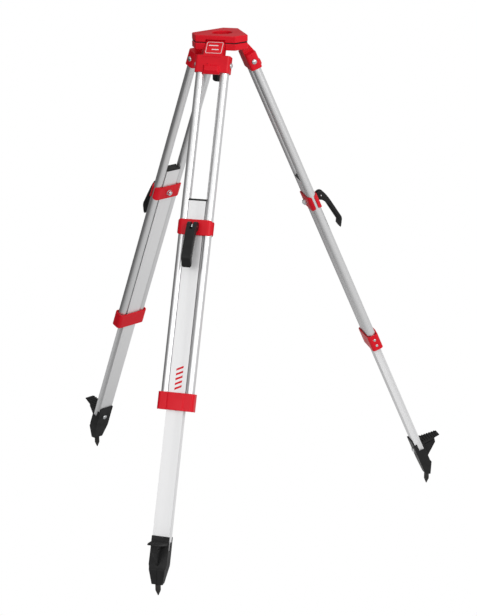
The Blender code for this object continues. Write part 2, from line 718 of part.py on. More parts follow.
def build_head():
    head = add_empty("head_frame", matrix=Matrix.Translation((0.0, HEAD_CENTRE_Y, hinge_height())))
    add_part("head_top", head_top(), RED, head)
    add_part("head_gasket", head_gasket(), BLACK, head)
    add_part("head_base", head_base(), RED, head)

    arm_height = -PLATE_GAP / 2 - BASE_PLATE - GAP - ARM_THICKNESS / 2
    pivot = (Matrix.Translation((0.0, ARM_PIVOT_Y, arm_height))
             @ Matrix.Rotation(ARM_SWING, 4, "Z"))
    add_part("swing_arm", swing_arm(), STEEL, head, pivot)
    add_part("arm_pivot", arm_pivot(), STEEL, head, pivot)

    screw = add_empty("screw_frame", head, pivot @ Matrix.Translation((0.0, -ARM_PIVOT_Y, 0.0)))
    washer_drop = ARM_THICKNESS / 2 + GAP + WASHER_THICKNESS / 2
    knob_drop = washer_drop + WASHER_THICKNESS / 2 + GAP
    stud_top = PLATE_GAP / 2 + TOP_PLATE - 0.009 - arm_height
    add_part("centring_washer", centring_washer(), STEEL, screw,
             Matrix.Translation((0.0, 0.0, -washer_drop)))
    add_part("centring_stud", centring_stud(stud_top, -knob_drop - 0.031), STEEL, screw)
    add_part("centring_knob", centring_knob(), BLACK, screw,
             Matrix.Translation((0.0, 0.0, -knob_drop)))
    return head


def leg_meshes():
    """One mesh for each piece of a leg; the three legs share them."""
    return {
        "cap": leg_cap(), "tube": leg_tube(), "cap_bolt": cap_bolt(),
        "hinge_pin": smooth(rod(PIN_RADIUS, PIN_LENGTH, "Y")), "collar": leg_collar(),
        "inner_leg": inner_leg(), "end_cap": end_cap(), "clamp_plate": clamp_plate(),
        "clamp_bolt": clamp_bolt(), "clamp_nut": clamp_nut(), "lever": clamp_lever(),
        "lever_pin": lever_pin(), "foot": foot(), "foot_bolt": foot_bolt(), "spike": spike(),
    }


def build_upper_leg(name, meshes, hinge):
    """Hinge pin, cap, two tubes and the collar that ties them."""
    add_part(f"{name}_hinge_pin", meshes["hinge_pin"], STEEL, hinge)
    add_part(f"{name}_leg_cap", meshes["cap"], RED, hinge)
    for side, label in ((-1, "a"), (1, "b")):
        place = Matrix.Translation((TUBE_PLANE, side * TUBE_SPACING / 2, -TUBE_TOP))
        add_part(f"{name}_tube_{label}", meshes["tube"], SILVER, hinge, place)
    add_part(f"{name}_cap_bolt", meshes["cap_bolt"], STEEL, hinge,
             Matrix.Translation((TUBE_PLANE, 0.0, -CAP_BOLT_DEPTH)))
    add_part(f"{name}_collar", meshes["collar"], RED, hinge,
             Matrix.Translation((TUBE_PLANE, 0.0, -(COLLAR_TOP + COLLAR_BOTTOM) / 2)))


def build_lower_leg(name, meshes, hinge):
    """Sliding section with its clamp, lever and foot."""
    lower = add_empty(f"{name}_lower_frame", hinge,
                      Matrix.Translation((TUBE_PLANE, 0.0, -CLAMP_DEPTH)))
    add_part(f"{name}_inner_leg", meshes["inner_leg"], SILVER, lower)
    add_part(f"{name}_end_cap", meshes["end_cap"], BLACK, lower,
             Matrix.Translation((0.0, 0.0, INNER_TOP)))
    add_part(f"{name}_clamp_front", meshes["clamp_plate"], RED, lower)
    add_part(f"{name}_clamp_rear", meshes["clamp_plate"], RED, lower,
             Matrix.Rotation(math.pi, 4, "Z"))
    add_part(f"{name}_clamp_bolt", meshes["clamp_bolt"], STEEL, lower)
    add_part(f"{name}_clamp_nut", meshes["clamp_nut"], STEEL, lower)

    lever = add_part(f"{name}_lever", meshes["lever"], BLACK, lower,
                     Matrix.Translation((LEVER_PIN_OUT, 0.0, 0.0)))
    add_part(f"{name}_lever_pin", meshes["lever_pin"], STEEL, lever)

    foot_frame = add_empty(f"{name}_foot_frame", lower,
                           Matrix.Translation((0.0, 0.0, -FOOT_DEPTH)))
    add_part(f"{name}_foot", meshes["foot"], BLACK, foot_frame)
    add_part(f"{name}_foot_bolt", meshes["foot_bolt"], STEEL, foot_frame,
             Matrix.Rotation(math.pi, 4, "Z"))
    add_part(f"{name}_spike", meshes["spike"], DARK_STEEL, foot_frame, spike_frame())


def build_leg(name, azimuth, meshes, head):
    turn = Matrix.Rotation(math.radians(azimuth), 4, "Z")
    out = Matrix.Translation((HINGE_RADIUS, 0.0, 0.0))
    lean = Matrix.Rotation(-SPLAY, 4, "Y")
    hinge = add_empty(f"{name}_hinge_frame", head, turn @ out @ lean)
    build_upper_leg(name, meshes, hinge)
    build_lower_leg(name, meshes, hinge)


clear_scene()
parts = new_collection("levelling_tripod")
helpers = new_collection("modelling_helpers")
head_frame = build_head()
shared = leg_meshes()
for leg_name, leg_azimuth in LEG_AZIMUTHS.items():
    build_leg(leg_name, leg_azimuth, shared, head_frame)
bpy.context.view_layer.update()
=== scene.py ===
"""Looks of a levelling tripod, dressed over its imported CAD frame.

Metres, +Z up, with the spike tips on the floor. Pieces of a leg are built in that leg's own frame:
+X points out from the leg's wide face, +Y runs across the leg, +Z points up the leg, and the origin
is on the hinge axis. Each piece is then carried to its place, so its object stays at the origin.
"""
import json
import logging
import math
from collections.abc import Callable, Iterable, Sequence
from dataclasses import dataclass, field
from enum import Enum

import bmesh
import bpy
from mathutils import Matrix, Vector
from mathutils.geometry import interpolate_bezier


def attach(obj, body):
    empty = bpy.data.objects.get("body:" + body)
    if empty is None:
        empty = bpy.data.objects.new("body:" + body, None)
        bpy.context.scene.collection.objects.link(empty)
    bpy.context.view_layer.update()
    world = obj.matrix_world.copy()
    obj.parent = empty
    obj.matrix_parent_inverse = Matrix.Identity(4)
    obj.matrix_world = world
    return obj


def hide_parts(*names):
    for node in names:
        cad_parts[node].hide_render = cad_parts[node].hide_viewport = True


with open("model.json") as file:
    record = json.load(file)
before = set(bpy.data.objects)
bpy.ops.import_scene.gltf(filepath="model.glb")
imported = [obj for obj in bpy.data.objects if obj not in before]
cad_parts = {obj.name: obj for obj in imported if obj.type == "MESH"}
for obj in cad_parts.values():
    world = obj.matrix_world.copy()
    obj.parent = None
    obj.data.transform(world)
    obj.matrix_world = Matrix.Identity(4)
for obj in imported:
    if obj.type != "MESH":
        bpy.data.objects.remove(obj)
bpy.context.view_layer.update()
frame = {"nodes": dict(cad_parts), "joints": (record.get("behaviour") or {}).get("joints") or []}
log = logging.getLogger("levelling_tripod")

Point = tuple[float, float]
Colour = tuple[float, float, float]
Mesh = bpy.types.Mesh
Socket = bpy.types.NodeSocket
ORIGIN = (0.0, 0.0, 0.0)

GAP = 0.0004
FINE = 64                   # sides of a large round piece
MEDIUM = 32
BEVEL_STEPS = 3
TUBE_RADIUS = 0.0111
TUBE_SPACING = 0.063        # between the middles of a leg's two tubes
PIN_OUT = 0.0265            # from the tubes' plane out to the clamp lever's pin
EYE_HALF = 0.0032           # half the width of the clamp bolt's eye
THROUGH = 0.1               # length of a cutter that goes right through a piece


class Slot(Enum):
    """The record's material slots."""

    RED = "red_castings"
    SILVER = "silver_aluminium"
    STEEL = "plated_steel"
    DARK = "dark_steel"
    BLACK = "black_plastic"


class Along(Enum):
    """The axis that a round piece is turned about."""

    X = Matrix.Rotation(math.pi / 2, 4, "Y")
    Y = Matrix.Rotation(-math.pi / 2, 4, "X")
    Z = Matrix.Identity(4)


class Plane(Enum):
    """The plane that a flat outline is drawn in."""

    XY = Matrix.Identity(4)
    XZ = Matrix.Rotation(math.pi / 2, 4, "X")
    YZ = Matrix(((0, 0, 1, 0), (1, 0, 0, 0), (0, 1, 0, 0), (0, 0, 0, 1)))


# ---------------------------------------------------------------- finishes

@dataclass(frozen=True)
class Finish:
    """A surface finish, made as a node material on Object coordinates.

    Attributes:
        name: Name of the material.
        slot: The record's slot that the finish belongs to; not used by the script.
        colour: Base colour where the surface is clean.
        shade: Base colour in its darker patches.
        roughness: Lowest and highest roughness.
        metallic: Metallic value.
        coat: Weight of a clear coat.
        patch: Size of the colour patches, in metres.
        grain: Size of the surface's grain, in metres.
        relief: Height of the grain, in metres.
        stretch: How many times longer the grain is along the piece's Z axis.
        speckle: Share of the fine grain that shows in the colour.
        specular: Specular level; a plain dielectric has 0.5.
    """

    name: str
    slot: Slot
    colour: Colour
    shade: Colour
    roughness: tuple[float, float]
    metallic: float = 0.0
    coat: float = 0.0
    patch: float = 0.03
    grain: float = 0.0012
    relief: float = 0.00002
    stretch: float = 1.0
    speckle: float = 0.15
    specular: float = 0.5

    def material(self, place: Matrix, label: str) -> bpy.types.Material:
        """Return the finish's material for pieces that share a frame.

        Args:
            place: The frame of the pieces, which turns a stretched grain along them.
            label: Name of the frame; a finish without a stretched grain is shared by all.

        Returns:
            The material, made the first time it is asked for.
        """
        name = f"{self.name}_{label}" if self.stretch > 1.0 else self.name
        if name in bpy.data.materials:
            return bpy.data.materials[name]
        made = bpy.data.materials.new(name)
        made.use_nodes = True
        nodes = NodeBoard(made.node_tree)
        shader = made.node_tree.nodes["Principled BSDF"]
        shader.inputs["Metallic"].default_value = self.metallic
        shader.inputs["Coat Weight"].default_value = self.coat
        shader.inputs["Coat Roughness"].default_value = 0.12
        shader.inputs["Specular IOR Level"].default_value = self.specular

        spot = nodes.add("ShaderNodeTexCoord").outputs["Object"]
        mapping = nodes.add("ShaderNodeMapping", {"Vector": spot})
        mapping.vector_type = "TEXTURE"
        mapping.inputs["Location"].default_value = place.to_translation()
        mapping.inputs["Rotation"].default_value = place.to_euler()
        mapping.inputs["Scale"].default_value = (1.0, 1.0, self.stretch)
        along = mapping.outputs["Vector"]

        patches = nodes.noise(along, 1.0 / self.patch, 4.0)
        grain = nodes.noise(along, 1.0 / self.grain, 3.0)
        mixed = nodes.math("MULTIPLY_ADD", grain, self.speckle, patches)
        colours = nodes.add("ShaderNodeValToRGB", {"Fac": mixed})
        colours.color_ramp.elements[0].position = 0.35
        colours.color_ramp.elements[0].color = (*self.shade, 1.0)
        colours.color_ramp.elements[1].position = 0.62
        colours.color_ramp.elements[1].color = (*self.colour, 1.0)
        nodes.link(colours.outputs["Color"], shader.inputs["Base Color"])

        rough = nodes.add("ShaderNodeMapRange", {"Value": mixed, "From Min": 0.35, "From Max": 0.7,
                                                 "To Min": self.roughness[1],
                                                 "To Max": self.roughness[0]})
        nodes.link(rough.outputs["Result"], shader.inputs["Roughness"])
        bump = nodes.add("ShaderNodeBump", {"Height": grain, "Distance": self.relief,
                                            "Strength": 1.0})
        nodes.link(bump.outputs["Normal"], shader.inputs["Normal"])
        return made


class NodeBoard:
    """Adds and links nodes of a tree in few words."""

    def __init__(self, tree: bpy.types.NodeTree) -> None:
        """Keep the tree that nodes are added to."""
        self.tree = tree

    def add(self, kind: str, inputs: dict | None = None, **settings: object) -> bpy.types.Node:
        """Add a node and set or link its inputs.

        Args:
            kind: The node's Blender type.
            inputs: Input names or indices, each with a value or the socket that feeds it.
            settings: The node's own settings.

        Returns:
            The new node.
        """
        node = self.tree.nodes.new(kind)
        for name, value in settings.items():
            setattr(node, name, value)
        for name, value in (inputs or {}).items():
            if isinstance(value, Socket):
                self.tree.links.new(value, node.inputs[name])
            else:
                node.inputs[name].default_value = value
        return node

    def link(self, source: Socket, target: Socket) -> None:
        """Feed one socket from another."""
        self.tree.links.new(source, target)

    def noise(self, vector: Socket, scale: float, detail: float
              ) -> Socket:
        """Add a noise texture and return its value."""
        node = self.add("ShaderNodeTexNoise", {"Vector": vector, "Scale": scale, "Detail": detail})
        return node.outputs["Fac"]

    def fade(self, value: Socket, span: Point, result: Point) -> Socket:
        """Fade smoothly between two results over a span of the value."""
        names = ("From Min", "From Max", "To Min", "To Max")
        node = self.add("ShaderNodeMapRange", {"Value": value, **dict(zip(names, span + result))},
                        interpolation_type="SMOOTHSTEP")
        return node.outputs["Result"]

    def math(self, operation: str, *values: object) -> Socket:
        """Add a maths node and return its result."""
        node = self.add("ShaderNodeMath", dict(enumerate(values)), operation=operation)
        return node.outputs["Value"]


RED_PAINT = Finish("red_paint", Slot.RED, (0.72, 0.004, 0.016), (0.64, 0.003, 0.013), (0.30, 0.42),
                   patch=0.05, grain=0.0011, relief=0.000016, speckle=0.1, specular=0.22)
RED_PRINT = Finish("red_print", Slot.RED, (0.72, 0.008, 0.018), (0.62, 0.006, 0.015), (0.40, 0.5),
                   patch=0.02, grain=0.0006, relief=0.000004, specular=0.2)
LABEL_WHITE = Finish("label_white", Slot.RED, (0.80, 0.78, 0.78), (0.70, 0.68, 0.68), (0.35, 0.5),
                     patch=0.01, grain=0.0005, relief=0.000004)
SATIN_TUBE = Finish("satin_tube", Slot.SILVER, (0.82, 0.82, 0.825), (0.76, 0.76, 0.765),
                    (0.34, 0.44), metallic=1.0, patch=0.05, grain=0.0007, relief=0.000002,
                    stretch=60.0, speckle=0.25)
SATIN_PROFILE = Finish("satin_profile", Slot.SILVER, (0.86, 0.86, 0.865), (0.81, 0.81, 0.815),
                       (0.46, 0.56), metallic=0.55, patch=0.04, grain=0.0006, relief=0.000002,
                       stretch=80.0, speckle=0.2)
ZINC = Finish("bright_zinc", Slot.STEEL, (0.66, 0.67, 0.68), (0.46, 0.47, 0.48), (0.14, 0.30),
              metallic=1.0, patch=0.006, grain=0.0009, relief=0.000006, speckle=0.3)
BLACK_NYLON = Finish("black_nylon", Slot.BLACK, (0.013, 0.013, 0.0135), (0.008, 0.008, 0.0085),
                     (0.40, 0.55), patch=0.02, grain=0.0008, relief=0.00003, speckle=0.2,
                     specular=0.25)
BLACK_GASKET = Finish("black_gasket", Slot.BLACK, (0.012, 0.012, 0.012), (0.007, 0.007, 0.007),
                      (0.6, 0.75), grain=0.0006, relief=0.00002, specular=0.25)
DARK_SPIKE = Finish("dark_spike", Slot.DARK, (0.060, 0.058, 0.056), (0.030, 0.029, 0.028),
                    (0.34, 0.5), metallic=0.9, patch=0.008, grain=0.0008, relief=0.00002)


# ---------------------------------------------------------------- shape tools

def mesh_of(shape: bmesh.types.BMesh) -> Mesh:
    """Turn a bmesh into a mesh and free it."""
    mesh = bpy.data.meshes.new("shape")
    shape.to_mesh(mesh)
    shape.free()
    return mesh


def shift(x: float = 0.0, y: float = 0.0, z: float = 0.0) -> Matrix:
    """A move by the given distances."""
    return Matrix.Translation((x, y, z))


def spin(degrees: float, axis: str = "Z") -> Matrix:
    """A turn about one of the axes."""
    return Matrix.Rotation(math.radians(degrees), 4, axis)


def holder(mesh: bpy.types.ID) -> bpy.types.Object:
    """Hold a mesh or curve in an object that only takes part in modelling."""
    item = bpy.data.objects.new("holder", mesh)
    bpy.context.scene.collection.objects.link(item)
    return item


def bake(item: bpy.types.Object, weld: float = 1e-6) -> Mesh:
    """Return the mesh that an object evaluates to, welded, and remove the object.

    Args:
        item: The object with its live modifiers.
        weld: Vertices closer than this are made one.

    Returns:
        A plain mesh with no materials.
    """
    bpy.context.view_layer.update()
    evaluated = item.evaluated_get(bpy.context.evaluated_depsgraph_get())
    mesh = bpy.data.meshes.new_from_object(evaluated)
    bpy.data.objects.remove(item, do_unlink=True)
    shape = bmesh.new()
    shape.from_mesh(mesh)
    bmesh.ops.remove_doubles(shape, verts=shape.verts, dist=weld)
    bmesh.ops.dissolve_degenerate(shape, dist=weld, edges=shape.edges)
    loose = [edge for edge in shape.edges if not edge.link_faces]
    bmesh.ops.delete(shape, geom=loose, context="EDGES")
    slits = [edge for edge in shape.edges if edge.is_boundary]
    bmesh.ops.holes_fill(shape, edges=slits, sides=12)
    shape.to_mesh(mesh)
    shape.free()
    mesh.materials.clear()
    return mesh


def arc(centre: Point, radius: float, start: float, end: float, steps: int) -> list[Point]:
    """Points along an arc in the drawing plane.

    Args:
        centre: Centre of the arc.
        radius: Radius in metres.
        start: Angle of the first point, in radians from the first axis.
        end: Angle of the last point.
        steps: Number of stretches between points.

    Returns:
        One more point than there are steps.
    """
    turns = (start + (end - start) * step / steps for step in range(steps + 1))
    return [(centre[0] + radius * math.cos(turn), centre[1] + radius * math.sin(turn))
            for turn in turns]


def circle(radius: float, sides: int = FINE, centre: Point = (0.0, 0.0)) -> list[Point]:
    """Points of a closed circle."""
    return arc(centre, radius, 0.0, 2 * math.pi * (sides - 1) / sides, sides - 1)


def rounded_rectangle(half_x: float, half_y: float, radius: float, steps: int = 8) -> list[Point]:
    """Outline of a rectangle with round corners."""
    outline: list[Point] = []
    for quarter, (side_x, side_y) in enumerate(((1, 1), (-1, 1), (-1, -1), (1, -1))):
        centre = (side_x * (half_x - radius), side_y * (half_y - radius))
        start = quarter * math.pi / 2
        outline += arc(centre, radius, start, start + math.pi / 2, steps)
    return outline


def bezier(start: Point, start_handle: Point, end_handle: Point, end: Point, points: int
           ) -> list[Point]:
    """Points of a flat Bezier stretch."""
    ends = [Vector((*spot, 0.0)) for spot in (start, start_handle, end_handle, end)]
    return [(spot.x, spot.y) for spot in interpolate_bezier(*ends, points)]


def flat(outlines: Sequence[Sequence[Point]], thickness: float, plane: Plane = Plane.XY,
         centre: Sequence[float] = ORIGIN) -> Mesh:
    """Extrude flat outlines about their plane.

    Args:
        outlines: The outer outline first, and then its holes.
        thickness: Full thickness of the plate.
        plane: The plane that the outlines are drawn in.
        centre: Where the drawing's origin goes, at half the thickness.

    Returns:
        A closed mesh.
    """
    curve = bpy.data.curves.new("outline", "CURVE")
    curve.dimensions = "2D"
    curve.fill_mode = "BOTH"
    curve.extrude = thickness / 2
    for outline in outlines:
        spline = curve.splines.new("POLY")
        spline.points.add(len(outline) - 1)
        for point, (first, second) in zip(spline.points, outline):
            point.co = (first, second, 0.0, 1.0)
        spline.use_cyclic_u = True
    mesh = bake(holder(curve))
    mesh.transform(Matrix.Translation(centre) @ plane.value)
    return outward(mesh)


def outward(mesh: Mesh) -> Mesh:
    """Point a closed mesh's faces outwards."""
    shape = bmesh.new()
    shape.from_mesh(mesh)
    bmesh.ops.recalc_face_normals(shape, faces=shape.faces)
    shape.to_mesh(mesh)
    shape.free()
    return mesh


def block(half: Sequence[float], centre: Sequence[float] = ORIGIN) -> Mesh:
    """A box from its half sizes."""
    shape = bmesh.new()
    bmesh.ops.create_cube(shape, size=2.0)
    bmesh.ops.scale(shape, vec=half, verts=shape.verts)
    bmesh.ops.translate(shape, vec=centre, verts=shape.verts)
    return mesh_of(shape)


def rod(radius: float, length: float, along: Along = Along.Z,
        centre: Sequence[float] = ORIGIN, sides: int = MEDIUM) -> Mesh:
    """A solid cylinder about one of the axes."""
    shape = bmesh.new()
    bmesh.ops.create_cone(shape, cap_ends=True, segments=sides, radius1=radius, radius2=radius,
                          depth=length, matrix=Matrix.Translation(centre) @ along.value)
    return mesh_of(shape)


def turned(profile: Sequence[Point], along: Along = Along.Z, sides: int = FINE) -> Mesh:
    """Turn a profile about an axis.

    Args:
        profile: (radius, height) points, listed from the top down.
        along: The axis of the turned piece.
        sides: Number of sides round the axis.

    Returns:
        A closed mesh if the profile starts and ends on the axis or is a closed loop.
    """
    mesh = bpy.data.meshes.new("profile")
    points = [(radius, 0.0, height) for radius, height in profile]
    mesh.from_pydata(points, [(i, i + 1) for i in range(len(points) - 1)], [])
    item = holder(mesh)
    screw = item.modifiers.new("turn", "SCREW")
    screw.steps = screw.render_steps = sides
    screw.use_merge_vertices = True
    screw.merge_threshold = 1e-6
    turned_mesh = outward(bake(item))
    turned_mesh.transform(along.value)
    return turned_mesh


def combined(mesh: Mesh, joins: Iterable[Mesh] = (),
             cuts: Iterable[Mesh] = (), common: Iterable[Mesh] = ()
             ) -> Mesh:
    """Join, cut or intersect a mesh with others.

    Args:
        mesh: The body to start from.
        joins: Meshes that are added to it.
        cuts: Meshes that are taken away from it.
        common: Meshes that it is trimmed to.

    Returns:
        The finished mesh.
    """
    body = holder(mesh)
    tools = []
    for operation, others in (("UNION", joins), ("DIFFERENCE", cuts), ("INTERSECT", common)):
        for other in others:
            tools.append(holder(other))
            boolean = body.modifiers.new("boolean", "BOOLEAN")
            boolean.operation = operation
            boolean.object = tools[-1]
    result = bake(body)
    for tool in tools:
        bpy.data.objects.remove(tool, do_unlink=True)
    return result


def eased(mesh: Mesh, width: float, angle: float = 32.0, steps: int = BEVEL_STEPS
          ) -> Mesh:
    """Round the sharp edges of a mesh.

    Args:
        mesh: A closed mesh.
        width: Width of the rounding, in metres.
        angle: Edges sharper than this are rounded, in degrees.
        steps: Segments across the rounding.

    Returns:
        The rounded mesh.
    """
    item = holder(mesh)
    bevel = item.modifiers.new("ease", "BEVEL")
    bevel.width = width
    bevel.segments = steps
    bevel.limit_method = "ANGLE"
    bevel.angle_limit = math.radians(angle)
    bevel.use_clamp_overlap = False
    return bake(item)


def reshaped(mesh: Mesh, rule: Callable[[Vector], Vector]) -> Mesh:
    """Move every vertex by a rule from its old place to its new one."""
    for vertex in mesh.vertices:
        vertex.co = rule(vertex.co.copy())
    return mesh


def moved(mesh: Mesh, place: Matrix) -> Mesh:
    """A copy of a mesh in another place."""
    copy = mesh.copy()
    copy.transform(place)
    return copy


def joined(meshes: Iterable[Mesh]) -> Mesh:
    """Put closed shells side by side in one mesh."""
    shape = bmesh.new()
    for mesh in meshes:
        shape.from_mesh(mesh)
    return mesh_of(shape)


def shaded(mesh: Mesh, angle: float = 40.0) -> Mesh:
    """Shade a mesh smooth, with its large faces kept flat and its sharp edges crisp."""
    mesh.shade_smooth()
    mesh.set_sharp_from_angle(angle=math.radians(angle))
    item = holder(mesh)
    normals = item.modifiers.new("normals", "WEIGHTED_NORMAL")
    normals.keep_sharp = True
    bpy.context.view_layer.update()
    evaluated = item.evaluated_get(bpy.context.evaluated_depsgraph_get())
    result = bpy.data.meshes.new_from_object(evaluated)
    bpy.data.objects.remove(item, do_unlink=True)
    return result


def domed_head(radius: float, height: float, base: float, steps: int = 8) -> list[Point]:
    """Profile of a domed bolt head above a given height, with a small flat rim."""
    rim = 0.12 * height
    dome = [(radius * math.sin(turn), base + rim + (height - rim) * math.cos(turn))
            for turn in (i * math.pi / 2 / steps for i in range(steps + 1))]
    return dome + [(radius, base)]


# ---------------------------------------------------------------- placing pieces

@dataclass(frozen=True)
class Stand:
    """The frame that a group of pieces is built in, and its name."""

    place: Matrix
    label: str

    def dress(self, name: str, mesh: Mesh, finish: Finish, body: str,
              *replaced: str) -> None:
        """Put a finished piece in the scene and tie it to its body.

        Args:
            name: Name of the piece.
            mesh: Its mesh in this frame.
            finish: Its surface finish.
            body: The CAD body that it rides on.
            replaced: CAD nodes that it stands for.
        """
        mesh.transform(self.place)
        mesh.materials.clear()
        mesh.materials.append(finish.material(self.place, self.label))
        piece = bpy.data.objects.new(name, mesh)
        bpy.context.scene.collection.objects.link(piece)
        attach(piece, body)
        if replaced:
            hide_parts(*replaced)
        log.info("%s: %d faces, rides on %s", name, len(mesh.polygons), body)

    def dress_leg(self, leg: str, body: str, *pieces: tuple) -> None:
        """Dress pieces of a leg in order.

        Args:
            leg: The leg, whose name starts the name of every piece, body and node.
            body: The CAD body that the pieces ride on.
            pieces: Each piece's name, mesh and finish, and the CAD nodes that it stands for.
        """
        for name, mesh, finish, *nodes in pieces:
            self.dress(f"{leg}_{name}", mesh, finish, f"{leg}_{body}",
                       *(f"{leg}_{node}" for node in nodes))

    def repaint(self, node: str, finish: Finish) -> None:
        """Give a CAD node that stays a finer finish."""
        data = frame["nodes"][node].data
        data.materials.clear()
        data.materials.append(finish.material(self.place, self.label))
        log.info("%s: CAD node kept, finish %s", node, finish.name)


# ---------------------------------------------------------------- repeated details

@dataclass
class BakedTree:
    """A Geometry Nodes tree with named inputs, baked into a plain mesh."""

    sockets: dict[str, str] = field(default_factory=dict)
    tree: bpy.types.NodeTree | None = None

    def begin(self, name: str, **kinds: str) -> tuple[NodeBoard, bpy.types.NodeOutputs]:
        """Start the tree.

        Args:
            name: Name of the tree.
            kinds: The kind of socket of each of its own inputs.

        Returns:
            The board that nodes are added to, and the tree's inputs.
        """
        self.tree = bpy.data.node_groups.new(name, "GeometryNodeTree")
        face = self.tree.interface
        for label, kind in (("Geometry", "Geometry"), *kinds.items(), ("Finish", "Material")):
            socket = face.new_socket(name=label, in_out="INPUT", socket_type=f"NodeSocket{kind}")
            self.sockets[label] = socket.identifier
        face.new_socket(name="Geometry", in_out="OUTPUT", socket_type="NodeSocketGeometry")
        board = NodeBoard(self.tree)
        return board, board.add("NodeGroupInput").outputs

    def end(self, board: NodeBoard, geometry: Socket,
            finish: Socket) -> None:
        """End the tree: make the instances real and set their material."""
        real = board.add("GeometryNodeRealizeInstances", {"Geometry": geometry})
        painted = board.add("GeometryNodeSetMaterial", {"Geometry": real.outputs["Geometry"],
                                                        "Material": finish})
        board.add("NodeGroupOutput", {"Geometry": painted.outputs["Geometry"]})

    def baked(self, mesh: Mesh, **values: object) -> Mesh:
        """Run the tree on a mesh with the given inputs and return a plain mesh."""
        item = holder(mesh)
        modifier = item.modifiers.new("tree", "NODES")
        modifier.node_group = self.tree
        for label, value in values.items():
            modifier[self.sockets[label]] = value
        return bake(item)


@dataclass
class RepeatTree(BakedTree):
    """Sets copies of a mesh along a line or round a circle.

    Attributes:
        round_axis: Set the copies round the Z axis, and not along a line.
    """

    round_axis: bool = False

    def build(self) -> None:
        """Build the tree with inputs for the copies' count and spacing."""
        board, given = self.begin("copies_round_axis" if self.round_axis else "copies_in_row",
                                  Count="Int", Step="Vector", Radius="Float")
        if self.round_axis:
            points = board.add("GeometryNodeMeshCircle", {"Vertices": given["Count"],
                                                          "Radius": given["Radius"]})
            spot = board.add("GeometryNodeInputPosition").outputs["Position"]
            turn = board.add("FunctionNodeAlignRotationToVector", {"Vector": spot}, axis="X",
                             pivot_axis="Z").outputs["Rotation"]
        else:
            points = board.add("GeometryNodeMeshLine", {"Count": given["Count"],
                                                        "Offset": given["Step"]})
            turn = board.add("FunctionNodeEulerToRotation").outputs["Rotation"]
        copies = board.add("GeometryNodeInstanceOnPoints",
                           {"Points": points.outputs["Mesh"], "Instance": given["Geometry"],
                            "Rotation": turn})
        self.end(board, copies.outputs["Instances"], given["Finish"])

    def copies(self, mesh: Mesh, count: int, step: Sequence[float] = ORIGIN,
               radius: float = 0.0) -> Mesh:
        """Set copies of a mesh and return them as one plain mesh.

        Args:
            mesh: The mesh to repeat; round an axis, its X axis points outwards.
            count: Number of copies.
            step: Way from each copy in a row to the next.
            radius: Distance of the copies from the Z axis.

        Returns:
            The copies as one mesh.
        """
        if self.tree is None:
            self.build()
        return self.baked(mesh, Count=count, Step=step, Radius=radius)


@dataclass
class ThreadTree(BakedTree):
    """Winds a screw thread's ridge about the Z axis: a spiral swept with a small square."""

    def wind(self, radius: float, pitch: float, length: float, ridge: float) -> Mesh:
        """Wind a ridge and return it as a plain mesh.

        Args:
            radius: Distance of the ridge's middle from the axis.
            pitch: Height of one turn.
            length: Height of the whole thread, from Z = 0 up.
            ridge: Half the ridge's width.

        Returns:
            The ridge as a mesh.
        """
        board, given = self.begin("thread_ridge", Turns="Float", Radius="Float", Height="Float",
                                  Ridge="Float")
        spiral = board.add("GeometryNodeCurveSpiral",
                           {"Resolution": 28, "Rotations": given["Turns"],
                            "Start Radius": given["Radius"], "End Radius": given["Radius"],
                            "Height": given["Height"]})
        outline = board.add("GeometryNodeCurvePrimitiveCircle", {"Resolution": 4,
                                                                 "Radius": given["Ridge"]})
        swept = board.add("GeometryNodeCurveToMesh", {"Curve": spiral.outputs["Curve"],
                                                      "Profile Curve": outline.outputs["Curve"],
                                                      "Fill Caps": True})
        self.end(board, swept.outputs["Mesh"], given["Finish"])
        return outward(self.baked(bpy.data.meshes.new("thread"), Turns=length / pitch,
                                  Radius=radius, Height=length, Ridge=ridge))


ROW = RepeatTree()
RING = RepeatTree(round_axis=True)


def cross_head_screw(radius: float, height: float) -> Mesh:
    """A pan-head screw on the XY plane, its cross recess up."""
    head = turned([*domed_head(radius, height, 0.0), (radius * 0.55, 0.0),
                   (radius * 0.55, -height), (0.0, -height)], sides=MEDIUM)
    wing = (radius * 0.60, radius * 0.19, height * 0.80)
    recess = combined(block(wing, (0, 0, height)),
                      joins=[block((wing[1], wing[0], wing[2] * 0.99), (0, 0, height))])
    return combined(head, cuts=[recess])


# ---------------------------------------------------------------- places read from the frame

LEG_NAMES = ("front", "right", "left")


def joint(name: str) -> dict:
    """The frame's joint of that name."""
    return next(item for item in frame["joints"] if item["name"] == name)


def leg_place(leg: str) -> Matrix:
    """The frame of a leg: origin on its hinge axis, X outward, Y across, Z up the leg."""
    fold = joint(f"{leg}_leg_fold")
    across = Vector(fold["axis"]).normalized()
    up = -Vector(joint(f"{leg}_leg_slide")["axis"]).normalized()
    turn = Matrix((across.cross(up), across, up)).transposed().to_4x4()
    return Matrix.Translation(fold["pos_m"]) @ turn


def lever_pin(leg: str) -> Vector:
    """The clamp lever's pin, in its leg's frame."""
    return leg_place(leg).inverted() @ Vector(joint(f"{leg}_clamp_lever_turn")["pos_m"])


def head_place() -> Matrix:
    """The frame of the head: upright, on its middle at the height of the hinges."""
    hinges = [Vector(joint(f"{leg}_leg_fold")["pos_m"]) for leg in LEG_NAMES]
    return Matrix.Translation(sum(hinges, Vector()) / len(hinges))


def arm_place() -> Matrix:
    """The frame of the swinging arm: on its pivot, turned to where the arm rests."""
    along = Vector(joint("washer_slide")["axis"])
    return (Matrix.Translation(joint("arm_swing")["pos_m"])
            @ Matrix.Rotation(math.atan2(-along.x, along.y), 4, "Z"))


# ---------------------------------------------------------------- head

